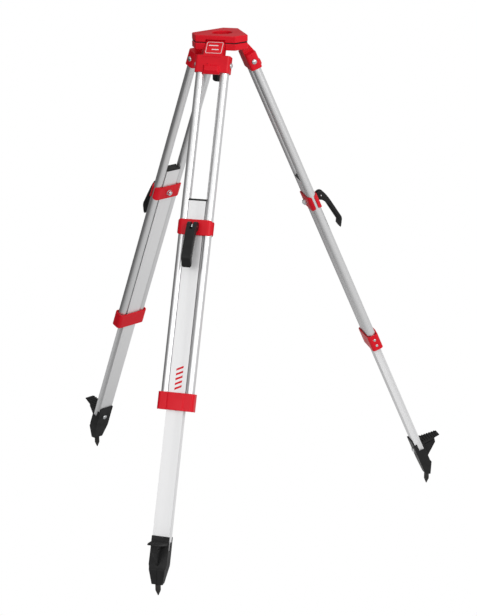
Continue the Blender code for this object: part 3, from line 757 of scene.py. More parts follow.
@dataclass
class Head:
    """The two castings that the legs hinge between, and their screws."""

    face: float = 0.0544
    face_half: float = 0.0524
    top_plate: float = 0.0168
    plate_gap: float = 0.0024
    base_plate: float = 0.0164
    hole: float = 0.0265
    base_hole: float = 0.031
    hinge_radius: float = 0.0435
    knuckle: float = 0.007
    notch_half: float = 0.0260
    notch_in_top: float = 0.0066
    edge: float = 0.0024
    screw_ring: float = 0.061
    screw_spread: float = 11.0
    azimuths: tuple[float, ...] = (-90.0, 30.0, 150.0)

    def outline(self) -> list[Point]:
        """The triangle with its corners cut off."""
        points = []
        for azimuth in self.azimuths:
            turn = Matrix.Rotation(math.radians(azimuth), 2)
            points += [tuple(turn @ Vector((self.face, side)))
                       for side in (-self.face_half, self.face_half)]
        return points

    def notches(self, bottom: float, top: float) -> list[Mesh]:
        """Cutters for the openings that the legs' tongues stand in.

        Args:
            bottom: Height of the cutters' lower side over the hinge axes.
            top: Height of their upper side.

        Returns:
            One cutter at each leg.
        """
        inner = self.hinge_radius - self.knuckle - 0.003
        outer = self.face + 0.01
        cutter = eased(block(((outer - inner) / 2, self.notch_half, (top - bottom) / 2),
                             ((inner + outer) / 2, 0.0, (top + bottom) / 2)), 0.0012)
        return [moved(cutter, spin(azimuth))
                for azimuth in self.azimuths]

    def plate(self, low: float, high: float, hole: float, notch_top: float) -> Mesh:
        """A head casting with eased edges, a chamfered hole and three notches.

        Args:
            low: Height of its underside.
            high: Height of its upper side.
            hole: Radius of the hole.
            notch_top: Height that the notches reach up to.

        Returns:
            The casting.
        """
        body = eased(flat([self.outline()], high - low, centre=(0, 0, (low + high) / 2)), self.edge)
        chamfer, beyond = 0.0018, 0.004
        bore = turned([(0.0, high + beyond), (hole + chamfer + beyond, high + beyond),
                       (hole, high - chamfer), (hole, low + chamfer),
                       (hole + chamfer + beyond, low - beyond), (0.0, low - beyond)])
        return shaded(combined(body, cuts=[bore, *self.notches(low - 0.008, notch_top)]))

    def base_screws(self) -> Mesh:
        """Six screws up into the castings from below, in pairs near the corners."""
        screw = cross_head_screw(0.0042, 0.0022)
        screw.transform(shift(0.0, 0.0, -self.plate_gap / 2 - self.base_plate)
                        @ Matrix.Rotation(math.pi, 4, "X"))
        rings = []
        for side in (-self.screw_spread, self.screw_spread):
            ring = RING.copies(screw.copy(), len(self.azimuths), radius=self.screw_ring)
            ring.transform(spin(-30.0 + side))
            rings.append(ring)
        return shaded(joined(rings), 35.0)

    def build(self) -> None:
        """Build and dress the head's pieces."""
        stand = Stand(head_place(), "head")
        half_gap = self.plate_gap / 2
        stand.dress("head_top_casting",
                    self.plate(half_gap, half_gap + self.top_plate, self.hole,
                               half_gap + self.notch_in_top),
                    RED_PAINT, "head", "head_top")
        stand.dress("head_base_casting",
                    self.plate(-half_gap - self.base_plate, -half_gap, self.base_hole, 0.01),
                    RED_PAINT, "head", "head_base")
        stand.dress("head_base_screws", self.base_screws(), ZINC, "head")
        stand.repaint("head_gasket", BLACK_GASKET)
        for leg in LEG_NAMES:
            stand.repaint(f"{leg}_hinge_pin", ZINC)


@dataclass
class CentringScrew:
    """The swinging arm under the head with its washer, threaded screw and knob."""

    arm_thickness: float = 0.005
    arm_half: float = 0.0145
    pivot_to_screw: float = 0.060
    travel: float = 0.008
    stud: float = 0.00794
    pitch: float = 0.00231
    washer: float = 0.016
    washer_thickness: float = 0.0034
    stud_top: float = 0.0297
    knob: float = 0.0195
    neck: float = 0.013
    knob_length: float = 0.077
    grip: float = 0.050
    flutes: int = 12

    def arm(self) -> Mesh:
        """The flat arm, slotted for the screw, about its pivot."""
        far = -self.pivot_to_screw - self.travel
        near = far + 2 * self.travel
        slot_radius = self.stud + GAP
        outer = (arc((0.0, 0.0), self.arm_half, 0.0, math.pi, 24)
                 + arc((0.0, far), self.arm_half, math.pi, 2 * math.pi, 24))
        slot = (arc((0.0, near), slot_radius, 0.0, math.pi, 20)
                + arc((0.0, far), slot_radius, math.pi, 2 * math.pi, 20))
        plate = flat([outer, slot, circle(0.0044, MEDIUM)], self.arm_thickness)
        return shaded(eased(plate, 0.0006))

    def pivot(self) -> Mesh:
        """The shoulder screw, with a hexagon recess in its head."""
        under = -self.arm_thickness / 2 - GAP
        profile = [(0.0, 0.015), (0.004, 0.015), (0.004, under), (0.0074, under),
                   (0.008, under - 0.0005), (0.008, under - 0.003),
                   (0.007, under - 0.004), (0.0, under - 0.004)]
        recess = rod(0.0032, 0.004, Along.Z, (0.0, 0.0, under - 0.004), 6)
        return shaded(combined(turned(profile), cuts=[recess]), 30.0)

    def plain_washer(self) -> Mesh:
        """The washer that the knob draws up against the arm."""
        half, ease = self.washer_thickness / 2, 0.0004
        inner = self.stud + GAP
        return shaded(turned([(self.washer - ease, half), (self.washer, half - ease),
                              (self.washer, ease - half), (self.washer - ease, -half),
                              (inner, -half), (inner, half), (self.washer - ease, half)]))

    def threaded_screw(self, bottom: float) -> Mesh:
        """The screw's core with the ridge of its thread wound on it."""
        core = self.stud - 0.0011
        point = 0.0018
        body = turned([(0.0, self.stud_top), (core - point, self.stud_top),
                       (core, self.stud_top - point), (core, bottom), (0.0, bottom)])
        start = bottom + self.pitch
        ridge = ThreadTree().wind(core, self.pitch, self.stud_top - point - start, 0.00105)
        ridge.transform(shift(0.0, 0.0, start))
        return shaded(joined([body, ridge]), 50.0)

    def fluted_knob(self) -> Mesh:
        """The knob under its neck, with fingers' flutes round the grip; its origin is its top."""
        grip_top = self.grip - self.knob_length
        socket = self.stud + GAP
        low = -self.knob_length
        edge = 0.005
        rounding = [(self.knob - edge + edge * math.cos(turn), low + edge + edge * math.sin(turn))
                    for turn in (-i * math.pi / 12 for i in range(7))]
        profile = [(socket, 0.0), (self.neck - 0.0008, 0.0), (self.neck, -0.0008),
                   (self.neck, grip_top + 0.007), (self.neck + 0.0012, grip_top + 0.0035),
                   (self.knob - 0.0025, grip_top), (self.knob - 0.0006, grip_top - 0.0012),
                   (self.knob, grip_top - 0.004), (self.knob, (grip_top + low) / 2), *rounding,
                   (0.006, low), (0.005, low + 0.0012), (0.0, low + 0.0012), (0.0, -0.0315),
                   (socket, -0.0315), (socket, 0.0)]

        def fluted(spot: Vector) -> Vector:
            """Draw the grip in between its ridges."""
            if math.hypot(spot.x, spot.y) < self.knob - 0.003:
                return spot
            valley = 0.5 - 0.5 * math.cos(math.atan2(spot.y, spot.x) * self.flutes)
            shrink = 1.0 - 0.07 * valley ** 2
            return Vector((spot.x * shrink, spot.y * shrink, spot.z))

        return shaded(reshaped(turned(profile, sides=self.flutes * 12), fluted), 50.0)

    def build(self) -> None:
        """Build and dress the arm, washer, screw and knob."""
        arm = Stand(arm_place(), "arm")
        washer_drop = self.arm_thickness / 2 + GAP + self.washer_thickness / 2
        knob_drop = washer_drop + self.washer_thickness / 2 + GAP
        on_screw = arm.place @ shift(0.0, -self.pivot_to_screw, 0.0)
        screw = Stand(on_screw, "screw")
        washer = Stand(on_screw @ shift(0.0, 0.0, -washer_drop), "washer")
        knob = Stand(on_screw @ shift(0.0, 0.0, -knob_drop), "knob")
        arm.dress("centring_arm", self.arm(), ZINC, "swing_arm", "swing_arm")
        arm.dress("arm_shoulder_screw", self.pivot(), ZINC, "head", "arm_pivot")
        washer.dress("screw_washer", self.plain_washer(), ZINC, "washer", "centring_washer")
        screw.dress("threaded_screw", self.threaded_screw(-knob_drop - 0.031), ZINC, "screw",
                    "centring_stud")
        knob.dress("screw_knob", self.fluted_knob(), BLACK_NYLON, "screw", "centring_knob")


# ---------------------------------------------------------------- upper leg

@dataclass
class UpperLeg:
    """A leg's cap, its two tubes, the bolt across them and the collar at their foot."""

    leg: str
    wall: float = 0.0015
    tube_top: float = 0.050
    tube_end: float = 0.913
    cap_top: float = 0.0370
    cap_bottom: float = 0.080
    cap_half_width: float = 0.0448
    cap_half_depth: float = 0.0148
    bolt_depth: float = 0.059
    knuckle: float = 0.007
    tongue_half: float = 0.0246
    flare: float = math.radians(19.1)
    boss_half: float = 0.0225
    boss_chamfer: float = 0.0055
    bolt_hole: float = 0.0034
    socket_depth: float = 0.040
    collar_top: float = 0.8736
    collar_bottom: float = 0.917
    collar_half_width: float = 0.0469
    collar_half_depth: float = 0.0152
    panel_half: float = 0.022
    panel_proud: float = 0.0022
    screw_pitch: float = 0.017
    screw_drop: float = 0.0135

    @property
    def tube_plane(self) -> float:
        """How far the tubes' plane lies outside the hinge axis."""
        return lever_pin(self.leg).x - PIN_OUT

    def tongue(self) -> Mesh:
        """The flared tongue with the knuckle that turns on the hinge pin."""
        root = -self.cap_top - 0.0045
        knuckle = arc((0.0, 0.0), self.knuckle, self.flare, math.pi, 16)
        run = -root + self.knuckle * math.sin(self.flare)
        outer_root = knuckle[0][0] + run * math.tan(self.flare)
        outline = knuckle + [(-self.knuckle - 0.001, root), (outer_root, root)]
        return eased(flat([outline], 2 * self.tongue_half, Plane.XZ), 0.0009)

    def boss(self) -> Mesh:
        """The block on the cap's outer face, with its sides and ends sloped."""
        face = self.tube_plane + self.cap_half_depth - 0.0005
        front = face + 0.0062
        root = self.tube_plane + 0.012
        mesh = flat([[(root, -0.0615), (face, -0.0615), (front, -0.0655), (front, -0.077),
                      (face, -0.0845), (root, -0.0845)]], 2 * self.boss_half, Plane.XZ)

        def chamfered(spot: Vector) -> Vector:
            """Draw the front of the block in at its sides."""
            if spot.x > front - 0.001:
                spot.y -= math.copysign(self.boss_chamfer, spot.y)
            return spot

        return eased(reshaped(mesh, chamfered), 0.0007)

    def cap(self) -> Mesh:
        """The casting at the leg's top."""
        height = self.cap_bottom - self.cap_top
        shoulder = flat([rounded_rectangle(self.cap_half_depth, self.cap_half_width, 0.008)],
                        height, centre=(self.tube_plane, 0.0, -self.cap_top - height / 2))
        sockets = [rod(TUBE_RADIUS + GAP, self.socket_depth, Along.Z,
                       (self.tube_plane, side * TUBE_SPACING / 2,
                        -self.tube_top + GAP - self.socket_depth / 2), FINE) for side in (-1, 1)]
        across = rod(self.bolt_hole, 2 * THROUGH, Along.Y, (self.tube_plane, 0.0, -self.bolt_depth))
        pin_hole = rod(self.bolt_hole, 2 * THROUGH, Along.Y)
        seam = block((0.0003, 0.2, 0.2), (self.tube_plane, 0.0, -0.2 - self.cap_top + 0.002))
        ends = block((0.05, self.cap_half_width - 0.0005, 0.2))
        groove = combined(seam, cuts=[ends])
        vent = rod(0.0011, 0.02, Along.X,
                   (self.tube_plane + self.cap_half_depth, -0.012, -0.0588), MEDIUM)
        return shaded(combined(eased(shoulder, 0.0014), joins=[self.tongue(), self.boss()],
                               cuts=[*sockets, across, pin_hole, groove, vent]))

    def tube_mesh(self, side: int) -> Mesh:
        """One open tube, its cut ends eased."""
        ease = 0.0003
        top, end = -self.tube_top, -self.tube_end
        inner = TUBE_RADIUS - self.wall
        mesh = turned([(TUBE_RADIUS - ease, top), (TUBE_RADIUS, top - ease),
                       (TUBE_RADIUS, end + ease), (TUBE_RADIUS - ease, end), (inner, end),
                       (inner, top), (TUBE_RADIUS - ease, top)])
        mesh.transform(shift(self.tube_plane, side * TUBE_SPACING / 2, 0.0))
        return shaded(mesh)

    def cross_bolt(self) -> Mesh:
        """The bolt through the cap, a dome at each end."""
        half = self.cap_half_width + GAP
        head = domed_head(0.0067, 0.0042, half)
        profile = [*head, (0.003, half), (0.003, -half), *[(x, -z) for x, z in reversed(head)]]
        mesh = turned(profile, Along.Y)
        mesh.transform(shift(self.tube_plane, 0.0, -self.bolt_depth))
        return shaded(mesh, 35.0)

    def collar(self) -> Mesh:
        """The sleeve round both tubes, with a raised panel on its outer face."""
        height = self.collar_bottom - self.collar_top
        depth, width = self.collar_half_depth, self.collar_half_width
        wall = 0.0033
        sleeve = eased(flat([rounded_rectangle(depth, width, 0.009)], height), 0.0007)
        slope = 0.0045
        panel = flat([[(depth - 0.001, -self.panel_half), (depth, -self.panel_half),
                       (depth + self.panel_proud, slope - self.panel_half),
                       (depth + self.panel_proud, self.panel_half - slope),
                       (depth, self.panel_half), (depth - 0.001, self.panel_half)]],
                     height - 0.0012)
        inside = flat([rounded_rectangle(depth - wall, width - wall, 0.0055)], height + 0.01)
        mesh = combined(sleeve, joins=[eased(panel, 0.0005)], cuts=[inside])
        mesh.transform(shift(self.tube_plane, 0.0, -self.collar_top - height / 2))
        return shaded(mesh)

    def collar_screws(self) -> Mesh:
        """The two cross-head screws in one end of the collar."""
        screw = cross_head_screw(0.0037, 0.0018)
        screw.transform(Matrix.Rotation(math.pi / 2, 4, "X"))
        row = ROW.copies(screw, 2, (0.0, 0.0, -self.screw_pitch))
        row.transform(shift(self.tube_plane, -self.collar_half_width,
                                          -self.collar_top - self.screw_drop))
        return shaded(row, 35.0)

    def label(self) -> tuple[Mesh, Mesh]:
        """The framed label with two plain bars, and the plate under it."""
        down = 0.0205
        turn = Matrix.Rotation(-self.flare, 4, "Y")
        place = turn @ shift(self.knuckle + 0.0001, 0.0, -down)
        half_high, half_wide, line = 0.0162, 0.0208, 0.0011
        frame_line = flat([rounded_rectangle(half_wide, half_high, 0.0035),
                           rounded_rectangle(half_wide - line, half_high - line, 0.0025)],
                          0.0004, Plane.YZ, (0.0003, 0.0, 0.0))
        bars = [flat([rounded_rectangle(half, 0.0012, 0.0011)], 0.0004, Plane.YZ,
                     (0.0003, shift, height))
                for half, shift, height in ((0.0125, -0.003, 0.0062), (0.0090, 0.003, -0.0052))]
        plate = flat([rounded_rectangle(half_wide + 0.0006, half_high + 0.0006, 0.004)], 0.0006,
                     Plane.YZ)
        return moved(joined([frame_line, *bars]), place), moved(plate, place)

    def build(self) -> None:
        """Build and dress the leg's upper pieces."""
        leg = self.leg
        stand = Stand(leg_place(leg), leg)
        stand.dress_leg(leg, "upper_leg", ("cap_casting", self.cap(), RED_PAINT, "leg_cap"),
                        ("round_tube_a", self.tube_mesh(-1), SATIN_TUBE, "tube_a"),
                        ("round_tube_b", self.tube_mesh(1), SATIN_TUBE, "tube_b"),
                        ("cross_bolt", self.cross_bolt(), ZINC, "cap_bolt"),
                        ("tube_collar", self.collar(), RED_PAINT, "collar"),
                        ("collar_screws", self.collar_screws(), ZINC))
        if leg == "front":
            lines, plate = self.label()
            stand.dress("tongue_label_lines", lines, LABEL_WHITE, "front_upper_leg")
            stand.dress("tongue_label_plate", plate, RED_PRINT, "front_upper_leg")


# ---------------------------------------------------------------- lower leg, clamp and lever

@dataclass
class LowerLeg:
    """A leg's sliding section with its end cap, clamp, bolt and nut; origin on the clamp bolt."""

    leg: str
    top: float = 0.0663
    bottom: float = 0.8107
    half_depth: float = 0.010
    flank: float = 0.0126
    flank_half: float = 0.008
    wall: float = 0.0019
    clamp_height: float = 0.0387
    clamp_thickness: float = 0.003
    clamp_clearance: float = 0.0005
    clamp_wrap: float = math.radians(16.7)
    clamp_corner: float = 0.0095
    bolt: float = 0.003
    eye: float = 0.006
    nut: float = 0.0072
    foot_depth: float = 0.7907
    foot_bolt_hole: float = 0.0039
    mark_depth: float = 0.371

    def place(self) -> Matrix:
        """The lower leg's frame, worked out from the lever's pin."""
        pin = lever_pin(self.leg)
        return leg_place(self.leg) @ shift(pin.x - PIN_OUT, 0.0, pin.z)

    def section(self, offset: float = 0.0) -> list[Point]:
        """Outline of the flat profile, with hollow flanks that clear the tubes."""
        depth = self.half_depth + offset
        radius = self.flank - offset
        lean = math.asin(self.flank_half / radius)
        flank = arc((0.0, TUBE_SPACING / 2), radius, -math.pi / 2 + lean, -math.pi / 2 - lean, 20)
        edge = flank[0][1]
        flank = [(depth, edge), *flank, (-depth, edge)]
        return flank + [(-x, -y) for x, y in flank]

    def core_half(self) -> float:
        """Half the width of the profile's hollow."""
        return TUBE_SPACING / 2 - self.flank - self.wall

    def profile(self) -> Mesh:
        """The hollow extrusion, drilled for its two bolts."""
        core = rounded_rectangle(self.half_depth - self.wall, self.core_half(), 0.001, 3)
        length = self.top + self.bottom
        body = flat([self.section(), core], length, centre=(0.0, 0.0, self.top - length / 2))
        body = eased(body, 0.00035, 40.0, 2)
        holes = [rod(self.bolt + GAP, THROUGH, Along.X),
                 rod(self.foot_bolt_hole, THROUGH, Along.X, (0.0, 0.0, -self.foot_depth))]
        return shaded(combined(body, cuts=holes))

    def end_cap(self) -> Mesh:
        """The plastic plug's rim, over the profile's cut top."""
        rim = eased(flat([self.section(0.0006)], 0.0042, centre=(0.0, 0.0, 0.0021 + GAP)), 0.0008)
        hollow = self.half_depth - self.wall - GAP
        core = rounded_rectangle(hollow, self.core_half() - GAP, 0.0012, 3)
        mesh = combined(rim, joins=[flat([core], 0.014, centre=(0.0, 0.0, -0.0055))])
        mesh.transform(shift(0.0, 0.0, self.top))
        return shaded(mesh)

    def clamp_plate(self) -> Mesh:
        """The channel plate on the leg's outer side, its ends wrapped round the tubes."""
        inner = TUBE_RADIUS + self.clamp_clearance
        outer = inner + self.clamp_thickness
        half = TUBE_SPACING / 2
        end = math.pi / 2 - self.clamp_wrap
        outline = (arc((0.0, half), outer, end, 0.0, 16) + arc((0.0, -half), outer, 0.0, -end, 16)
                   + arc((0.0, -half), inner, -end, 0.0, 16)
                   + arc((0.0, half), inner, 0.0, end, 16))
        front_view = flat([rounded_rectangle(half + outer, self.clamp_height / 2,
                                             self.clamp_corner)], 0.06, Plane.YZ)
        plate = combined(flat([outline], self.clamp_height + 0.01), common=[front_view])
        hole = rod(self.bolt + GAP, THROUGH, Along.X)
        return shaded(combined(eased(plate, 0.0007, 50.0), cuts=[hole]))

    def eye_bolt(self) -> Mesh:
        """The bolt through the leg, with the eye that the lever's pin runs in."""
        tail = -TUBE_RADIUS - self.clamp_thickness - 0.0102
        reach = PIN_OUT - self.eye / 2
        shaft = rod(self.bolt - 0.0001, reach - tail, Along.X, ((reach + tail) / 2, 0.0, 0.0))
        middle = (PIN_OUT, 0.0, 0.0)
        eye = eased(rod(self.eye, 2 * EYE_HALF, Along.Y, middle, FINE), 0.0008)
        hole = rod(0.0025, 0.02, Along.Y, middle)
        return shaded(combined(eased(shaft, 0.0005), joins=[eye], cuts=[hole]), 35.0)

    def lock_nut(self) -> Mesh:
        """The hexagon nut and the washer under it, behind the inner plate."""
        back = -TUBE_RADIUS - self.clamp_clearance - self.clamp_thickness - GAP
        height, washer = 0.0062, 0.001
        hexagon = rod(self.nut, height, Along.X, (0.0, 0.0, 0.0), 6)
        narrow, wide, slope = self.nut * 0.88, self.nut * 1.02, 0.0013
        cone = turned([(0.0, height / 2), (narrow, height / 2), (wide, height / 2 - slope),
                       (wide, slope - height / 2), (narrow, -height / 2),
                       (0.0, -height / 2)], Along.X)
        hole = rod(self.bolt + 0.0002, 0.03, Along.X)
        nut = combined(hexagon, common=[cone], cuts=[hole])
        nut.transform(shift(back - washer - height / 2, 0.0, 0.0))
        disc = combined(rod(0.0078, washer, Along.X, (back - washer / 2, 0.0, 0.0), FINE), cuts=[
            rod(self.bolt + 0.0002, THROUGH, Along.X)])
        return shaded(joined([nut, disc]), 30.0)

    def printed_mark(self) -> Mesh:
        """A plain printed mark: slanted bars in a row along the face."""
        count, pitch, half_wide, half_high, slant = 5, 0.0118, 0.0088, 0.0026, 0.0042
        bar = flat([[(-half_wide, -half_high - slant), (half_wide, -half_high + slant),
                     (half_wide, half_high + slant), (-half_wide, half_high - slant)]],
                   0.0002, Plane.YZ)
        row = ROW.copies(bar, count, (0.0, 0.0, -pitch))
        top = -self.mark_depth + pitch * (count - 1) / 2
        row.transform(shift(self.half_depth + 0.00008, 0.002, top))
        return row

    def build(self) -> None:
        """Build and dress the sliding section and its clamp."""
        leg = self.leg
        stand = Stand(self.place(), f"{leg}_lower")
        behind = self.clamp_plate()
        behind.transform(Matrix.Rotation(math.pi, 4, "Z"))
        stand.dress_leg(leg, "lower_leg",
                        ("flat_profile", self.profile(), SATIN_PROFILE, "inner_leg"),
                        ("profile_end_cap", self.end_cap(), BLACK_NYLON, "end_cap"),
                        ("outer_clamp", self.clamp_plate(), RED_PAINT, "clamp_front"),
                        ("inner_clamp", behind, RED_PAINT, "clamp_rear"),
                        ("eye_bolt", self.eye_bolt(), ZINC, "clamp_bolt"),
                        ("lock_nut", self.lock_nut(), ZINC, "clamp_nut"))
        if leg == "front":
            stand.dress("profile_mark", self.printed_mark(), RED_PRINT, "front_lower_leg")


@dataclass
class ClampLever:
    """The forked cam lever, about its pin."""

    leg: str
    half_width: float = 0.01225
    cam: float = 0.0115
    pin: float = 0.0021
    reach: float = 0.1037
    corner: float = 0.009
    ribs: int = 17

    def arm(self) -> Mesh:
        """The bowed arm with the cams of its fork."""
        outer_edge = bezier((0.0085, 0.0074), (0.0165, -0.003), (0.020, -0.034),
                            (0.028, -0.0755), 18)
        lip = [(0.0277, -0.0805), (0.0262, -0.0845), (0.0155, -0.1035), (0.0135, -0.100),
               (0.0115, -0.0905)]
        inner_edge = bezier((0.0186, -0.077), (0.0165, -0.050), (0.0125, -0.028),
                            (-0.004, -0.0100), 16)
        arm = flat([outer_edge + lip + inner_edge], 2 * self.half_width, Plane.XZ)
        front_view = flat([rounded_rectangle(self.half_width + 0.001, 0.11, self.corner)], 0.1,
                          Plane.YZ, (0.0, 0.0, 0.11 - self.reach))
        arm = eased(combined(arm, common=[front_view]), 0.0012, 40.0)
        cam = eased(rod(self.cam, 2 * self.half_width + 0.001, Along.Y, sides=FINE), 0.0012)
        fork = block((0.03, EYE_HALF + GAP, 0.016), (0.0, 0.0, 0.0085))
        pin_hole = rod(self.pin + 0.0002, 0.05, Along.Y)
        return shaded(combined(arm, joins=[cam], cuts=[fork, pin_hole]))

    def grip_ribs(self) -> Mesh:
        """Raised ribs across both sides of the arm."""
        start, end = Vector((0.0095, 0.0, -0.020)), Vector((0.0205, 0.0, -0.083))
        run = end - start
        lean = math.atan2(run.x, -run.z)
        pitch = run.length / (self.ribs - 1)
        rib = eased(block((0.0042, self.half_width + 0.0006, pitch * 0.27)), 0.0004, steps=2)
        row = ROW.copies(rib, self.ribs, (0.0, 0.0, -pitch))
        row.transform(Matrix.Translation(start) @ Matrix.Rotation(-lean, 4, "Y"))
        return shaded(row)

    def pin_mesh(self) -> Mesh:
        """The pin across the fork, its ends slightly domed."""
        half = self.half_width + 0.0006
        head = domed_head(self.pin, 0.0008, half - 0.0008)
        return shaded(turned([*head, *[(x, -z) for x, z in reversed(head)]], Along.Y), 35.0)

    def build(self) -> None:
        """Build and dress the lever and its pin."""
        leg = self.leg
        pin = Vector(joint(f"{leg}_clamp_lever_turn")["pos_m"])
        stand = Stand(Matrix.Translation(pin) @ leg_place(leg).to_3x3().to_4x4(), f"{leg}_lever")
        stand.dress_leg(leg, "clamp_lever", ("cam_lever", self.arm(), BLACK_NYLON, "lever"),
                        ("lever_ribs", self.grip_ribs(), BLACK_NYLON),
                        ("fork_pin", self.pin_mesh(), ZINC, "lever_pin"))


# ---------------------------------------------------------------- foot

def sided(spot: Vector, half: float) -> Vector:
    """Set a point at half a width from the middle, on its own side."""
    return Vector((spot.x, math.copysign(half, spot.y), spot.z))


@dataclass
class Foot:
    """The plastic shoe with its toothed pedal, web, bolt and spike; origin on the bolt."""

    leg: str
    inner: float = -0.0142
    outer: float = 0.0135
    half_width: float = 0.0232
    tip_half: float = 0.0143
    cheek_top: float = 0.034
    cheek_half: float = 0.0228
    shoulder: float = -0.035
    socket_floor: float = -0.0208
    socket_half: float = 0.0221
    slot_half_depth: float = 0.0104
    slot_floor: float = 0.0
    lip_top: float = 0.021
    lip_edge: float = -0.0035
    pedal_reach: float = 0.066
    pedal_top: float = 0.021
    pedal_tip_top: float = 0.0165
    pedal_under: float = 0.0122
    pedal_tip_half: float = 0.0155
    pedal_inset: float = 0.0015
    teeth: int = 7
    tooth_height: float = 0.0016
    web_half: float = 0.008
    web_thin_half: float = 0.002
    bolt: float = 0.0035
    spike: float = 0.0068
    spike_shoulder: float = 0.0308
    shank: float = 0.0045
    spike_length: float = 0.052
    taper_length: float = 0.044
    web_bottom: float = -0.0385
    block_front: tuple[Point, Point] = ((0.0005, -0.0842), (0.0160, -0.0480))
    spike_tip: tuple[float, float, float] = (-0.0185, 0.0, -0.110)

    def place(self) -> Matrix:
        """The foot's frame, under the lower leg's."""
        lower = LowerLeg(self.leg)
        return lower.place() @ shift(0.0, 0.0, -lower.foot_depth)

    def upright(self) -> Matrix:
        """Turn from the foot's frame to the plumb spike's."""
        lean = leg_place(self.leg).to_3x3().col[2].angle(Vector((0.0, 0.0, 1.0)))
        return Matrix.Translation(self.spike_tip) @ Matrix.Rotation(lean, 4, "Y")

    def shoe(self) -> Mesh:
        """The cheeks and the block that narrows to the spike."""
        outline = [(self.inner, self.cheek_top), (self.inner, 0.0), (self.inner, self.shoulder),
                   (-0.0131, -0.0784), *self.block_front,
                   (self.outer, -0.0415), (self.outer, self.shoulder), (self.outer, 0.0),
                   (self.outer, self.cheek_top)]
        mesh = flat([outline], 2.0, Plane.XZ)

        def narrowed(spot: Vector) -> Vector:
            """Set the width at each height."""
            share = min(max((self.shoulder - spot.z) / self.taper_length, 0.0), 1.0)
            half = self.half_width + (self.tip_half - self.half_width) * share
            if spot.z > 0.0:
                half = self.cheek_half
            return sided(spot, half)

        return eased(reshaped(mesh, narrowed), 0.0013, 25.0)

    def pedal(self) -> Mesh:
        """The step plate, narrower at its end."""
        start, tip = self.outer - 0.0047, self.pedal_reach
        top, tip_top = self.pedal_top - self.tooth_height, self.pedal_tip_top - self.tooth_height
        outline = [(start, self.pedal_under), (start, top), (tip, tip_top),
                   (tip, self.pedal_under)]
        mesh = flat([outline], 2.0, Plane.XZ)
        return eased(reshaped(mesh, self.tapered), 0.0006, 25.0, 2)

    def tapered(self, spot: Vector) -> Vector:
        """Set a point's distance across the pedal by its distance along it."""
        share = (spot.x - self.outer) / (self.pedal_reach - self.outer)
        half = self.cheek_half - self.pedal_inset + (self.pedal_tip_half - self.cheek_half) * share
        return sided(spot, half)

    def pedal_teeth(self) -> Mesh:
        """Ridges across the pedal's top that grip a shoe's sole."""
        pitch = (self.pedal_reach - self.outer - 0.004) / self.teeth
        height = self.tooth_height + 0.0008
        tooth = flat([[(-0.4 * pitch, -height), (0.4 * pitch, -height), (0.2 * pitch, 0.0),
                       (-0.2 * pitch, 0.0)]], 2.0, Plane.XZ)
        fall = (self.pedal_tip_top - self.pedal_top) / (self.pedal_reach - self.outer)
        near = self.outer + 0.002 + 0.4 * pitch
        row = ROW.copies(tooth, self.teeth, (pitch, 0.0, pitch * fall))
        row.transform(shift(near, 0.0, self.pedal_top + (near - self.outer) * fall))
        return shaded(eased(reshaped(row, self.tapered), 0.0003, 25.0, 2))

    def web(self) -> Mesh:
        """The wedge under the pedal, thick at the pedal and thin below."""
        near = self.outer - 0.004
        outline = [(near, self.pedal_under + 0.002), (0.0520, self.pedal_under + 0.002),
                   (0.0490, -0.0055), (0.0125, self.web_bottom), (near, self.web_bottom)]
        mesh = flat([outline], 2.0, Plane.XZ)

        def wedge(spot: Vector) -> Vector:
            """Set the web's thickness at each height."""
            share = min(max((self.pedal_under - spot.z) / (self.pedal_under - self.web_bottom),
                            0.0), 1.0)
            half = self.web_half + (self.web_thin_half - self.web_half) * share
            return sided(spot, half)

        return eased(reshaped(mesh, wedge), 0.001, 25.0)

    def seam(self) -> Mesh:
        """The mould's parting line, a shallow groove down the front of the lower block."""
        low, high = (Vector((x, 0.0, z)) for x, z in self.block_front)
        run = high - low
        groove = block((0.0009, 0.0006, run.length / 2 + 0.001))
        groove.transform(Matrix.Translation((low + high) / 2)
                         @ Matrix.Rotation(math.atan2(run.x, run.z), 4, "Y"))
        return groove

    def web_rib(self) -> Mesh:
        """A rounded bead along both sides of the web, under the pedal."""
        fall = math.atan2(self.pedal_top - self.pedal_tip_top, self.pedal_reach - self.outer)
        bead = eased(block((0.0175, self.web_half + 0.0004, 0.0016)), 0.0009)
        bead.transform(shift(0.0305, 0.0, 0.0018) @ Matrix.Rotation(fall, 4, "Y"))
        return shaded(bead)

    def body(self) -> Mesh:
        """The whole moulding, with the slot for the leg and the holes for bolt and spike."""
        def space(inner: float, half_width: float, floor: float, top: float) -> Mesh:
            """A block of room for the leg, from the given depth out to the outer cheek."""
            outer = self.slot_half_depth
            return block(((outer - inner) / 2, half_width, (top - floor) / 2),
                         ((outer + inner) / 2, 0.0, (top + floor) / 2))

        slot = space(-self.slot_half_depth, 0.05, self.lip_top, self.cheek_top + 0.01)
        opening = space(self.lip_edge, 0.049, self.slot_floor, self.lip_top + 0.001)
        pocket = space(-self.slot_half_depth + 1e-5, self.socket_half, self.socket_floor,
                       self.lip_top + 0.002)
        bolt_hole = rod(self.bolt + GAP, 0.0292, Along.X, (-0.0020, 0.0, 0.0))
        hole_bottom = self.spike_shoulder - 0.006
        spike_hole = rod(self.shank + 0.0002, self.spike_length + GAP - hole_bottom, centre=(
            0.0, 0.0, (self.spike_length + GAP + hole_bottom) / 2))
        spike_hole.transform(self.upright())
        return shaded(combined(self.shoe(), joins=[self.pedal(), self.web()],
                               cuts=[slot, opening, pocket, bolt_hole, spike_hole,
                                     self.seam()]))

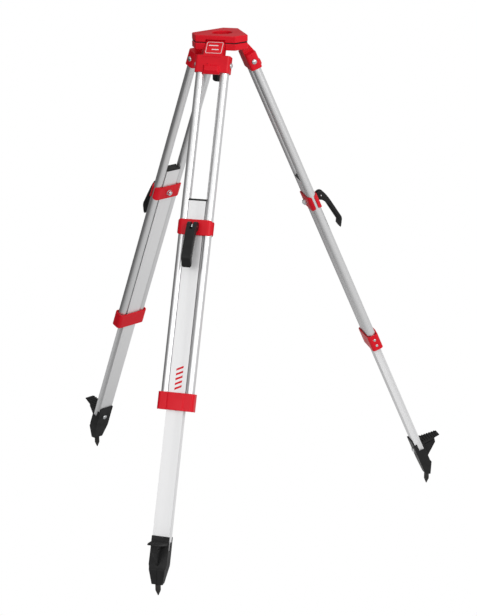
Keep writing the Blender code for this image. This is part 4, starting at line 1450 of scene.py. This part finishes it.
    def bolt_mesh(self) -> Mesh:
        """The domed bolt, from the leg's inner side."""
        base = -self.inner + GAP
        height, socket_radius = 0.0050, 0.0026
        profile = [*domed_head(0.0070, height, base), (self.bolt, base), (self.bolt, -0.012),
                   (0.0, -0.012)]
        socket = rod(socket_radius, 0.004, Along.X, (base + height, 0.0, 0.0), 6)
        mesh = combined(turned(profile, Along.X), cuts=[socket])
        mesh.transform(Matrix.Rotation(math.pi, 4, "Z"))
        return shaded(mesh, 35.0)

    def spike_mesh(self) -> Mesh:
        """The steel point, its tip on the floor."""
        nose = [(0.0014 * math.cos(turn), 0.0013 - 0.0013 * math.sin(turn))
                for turn in (i * math.pi / 12 for i in range(1, 7))]
        mesh = turned([(0.0, self.spike_length), (self.shank, self.spike_length),
                       (self.shank, self.spike_shoulder),
                       (self.spike - 0.0004, self.spike_shoulder),
                       (self.spike, self.spike_shoulder - 0.0004), (self.spike, 0.0145),
                       (self.spike - 0.0003, 0.0133), (0.0014, 0.0013), *nose])
        mesh.transform(self.upright())
        return shaded(mesh, 30.0)

    def build(self) -> None:
        """Build and dress the foot's pieces."""
        leg = self.leg
        Stand(self.place(), f"{leg}_foot").dress_leg(
            leg, "lower_leg", ("shoe", self.body(), BLACK_NYLON, "foot"),
            ("pedal_teeth", self.pedal_teeth(), BLACK_NYLON),
            ("web_rib", self.web_rib(), BLACK_NYLON),
            ("shoe_bolt", self.bolt_mesh(), ZINC, "foot_bolt"),
            ("steel_spike", self.spike_mesh(), DARK_SPIKE, "spike"))


# ---------------------------------------------------------------- studio

@dataclass(frozen=True)
class Lamp:
    """A soft area light that faces the tripod."""

    name: str
    place: tuple[float, float, float]
    size: tuple[float, float]
    power: float
    colour: Colour = (1.0, 1.0, 1.0)

    def build(self, aim: Vector) -> None:
        """Add the light to the scene, aimed at a point."""
        data = bpy.data.lights.new(self.name, "AREA")
        data.shape = "RECTANGLE"
        data.size, data.size_y = self.size
        data.energy = self.power
        data.color = self.colour
        lamp = bpy.data.objects.new(self.name, data)
        lamp.location = self.place
        lamp.rotation_euler = (aim - lamp.location).to_track_quat("-Z", "Y").to_euler()
        bpy.context.scene.collection.objects.link(lamp)


@dataclass
class Studio:
    """A white floor, soft lights and the camera."""

    lens: float = 135.88
    camera_from_axis: tuple[float, float, float] = (1.3637, -4.2788, 2.0129)
    camera_pan: float = 17.2377
    camera_tilt: float = 17.966
    camera_roll: float = -0.584
    floor_half: float = 30.0
    bright_side: tuple[float, float, float] = (0.85, -0.40, 0.20)
    floor_span: Point = (-1.6, 0.6)
    floor_glow: Point = (0.12, 0.66)
    world_span: Point = (-0.75, 0.25)
    world_glow: Point = (0.18, 0.70)
    lamps: tuple[Lamp, ...] = (
        Lamp("key_right", (3.4, -2.6, 3.2), (2.2, 2.6), 78.0),
        Lamp("front_fill", (-0.6, -4.6, 2.2), (2.6, 2.2), 26.0),
        Lamp("top_soft", (0.2, 0.4, 4.2), (3.0, 3.0), 10.0),
        Lamp("back_left", (-3.2, 2.6, 2.6), (1.6, 2.4), 3.0),
    )

    def seen_white(self, board: NodeBoard, otherwise: Socket) -> Socket:
        """Return a strength that is plain white to the eye and something else to the metal."""
        seen = board.add("ShaderNodeLightPath").outputs["Is Camera Ray"]
        mixed = board.add("ShaderNodeMix", {"Factor": seen, "A": otherwise, "B": 1.0},
                          data_type="FLOAT")
        return mixed.outputs["Result"]

    def floor(self) -> None:
        """Lay the white floor, which is dim on the left where the metal mirrors it."""
        mesh = block((self.floor_half, self.floor_half, 0.005), (0.0, 0.0, -0.005 - 0.0002))
        made = bpy.data.materials.new("white_floor")
        made.use_nodes = True
        board = NodeBoard(made.node_tree)
        shader = made.node_tree.nodes["Principled BSDF"]
        spot = board.add("ShaderNodeTexCoord").outputs["Object"]
        parts = board.add("ShaderNodeSeparateXYZ", {"Vector": spot})
        side = board.fade(parts.outputs["X"], self.floor_span, self.floor_glow)
        shader.inputs["Base Color"].default_value = (0.0, 0.0, 0.0, 1.0)
        shader.inputs["Specular IOR Level"].default_value = 0.0
        shader.inputs["Emission Color"].default_value = (1.0, 1.0, 1.0, 1.0)
        board.link(self.seen_white(board, side), shader.inputs["Emission Strength"])
        made.cycles.emission_sampling = "NONE"
        mesh.materials.append(made)
        floor = bpy.data.objects.new("studio_floor", mesh)
        bpy.context.scene.collection.objects.link(floor)

    def world(self) -> None:
        """Light the room, bright in front and dark at the back left, for the metal's edges."""
        world = bpy.data.worlds.new("studio")
        bpy.context.scene.world = world
        world.use_nodes = True
        board = NodeBoard(world.node_tree)
        background = world.node_tree.nodes["Background"]
        direction = board.add("ShaderNodeTexCoord").outputs["Generated"]
        bright = board.add("ShaderNodeVectorMath", {0: direction, 1: self.bright_side},
                           operation="DOT_PRODUCT").outputs["Value"]
        side = board.fade(bright, self.world_span, self.world_glow)
        background.inputs["Color"].default_value = (1.0, 1.0, 1.0, 1.0)
        board.link(self.seen_white(board, side), background.inputs["Strength"])

    def camera(self) -> None:
        """Add the camera, placed from the head's upright axis."""
        data = bpy.data.cameras.new("camera")
        data.lens = self.lens
        data.sensor_width = 36.0
        data.sensor_fit = "HORIZONTAL"
        camera = bpy.data.objects.new("camera", data)
        axis = head_place().to_translation()
        across, back, height = self.camera_from_axis
        camera.matrix_world = (
            shift(axis.x + across, axis.y + back, height)
            @ spin(self.camera_pan)
            @ spin(90.0 - self.camera_tilt, "X")
            @ spin(self.camera_roll))
        bpy.context.scene.collection.objects.link(camera)
        bpy.context.scene.camera = camera

    def build(self) -> None:
        """Build the whole studio."""
        self.camera()
        self.world()
        self.floor()
        aim = Vector((0.0, 0.0, 0.7))
        for lamp in self.lamps:
            lamp.build(aim)
        bpy.context.scene.view_settings.view_transform = "Standard"


def main() -> None:
    """Build the tripod's looks in order, and the studio round it."""
    logging.basicConfig(level=logging.INFO, format="%(name)s: %(message)s")
    Studio().build()
    Head().build()
    CentringScrew().build()
    for leg in LEG_NAMES:
        UpperLeg(leg).build()
        LowerLeg(leg).build()
        ClampLever(leg).build()
        Foot(leg).build()


if __name__ == "__main__":
    main()
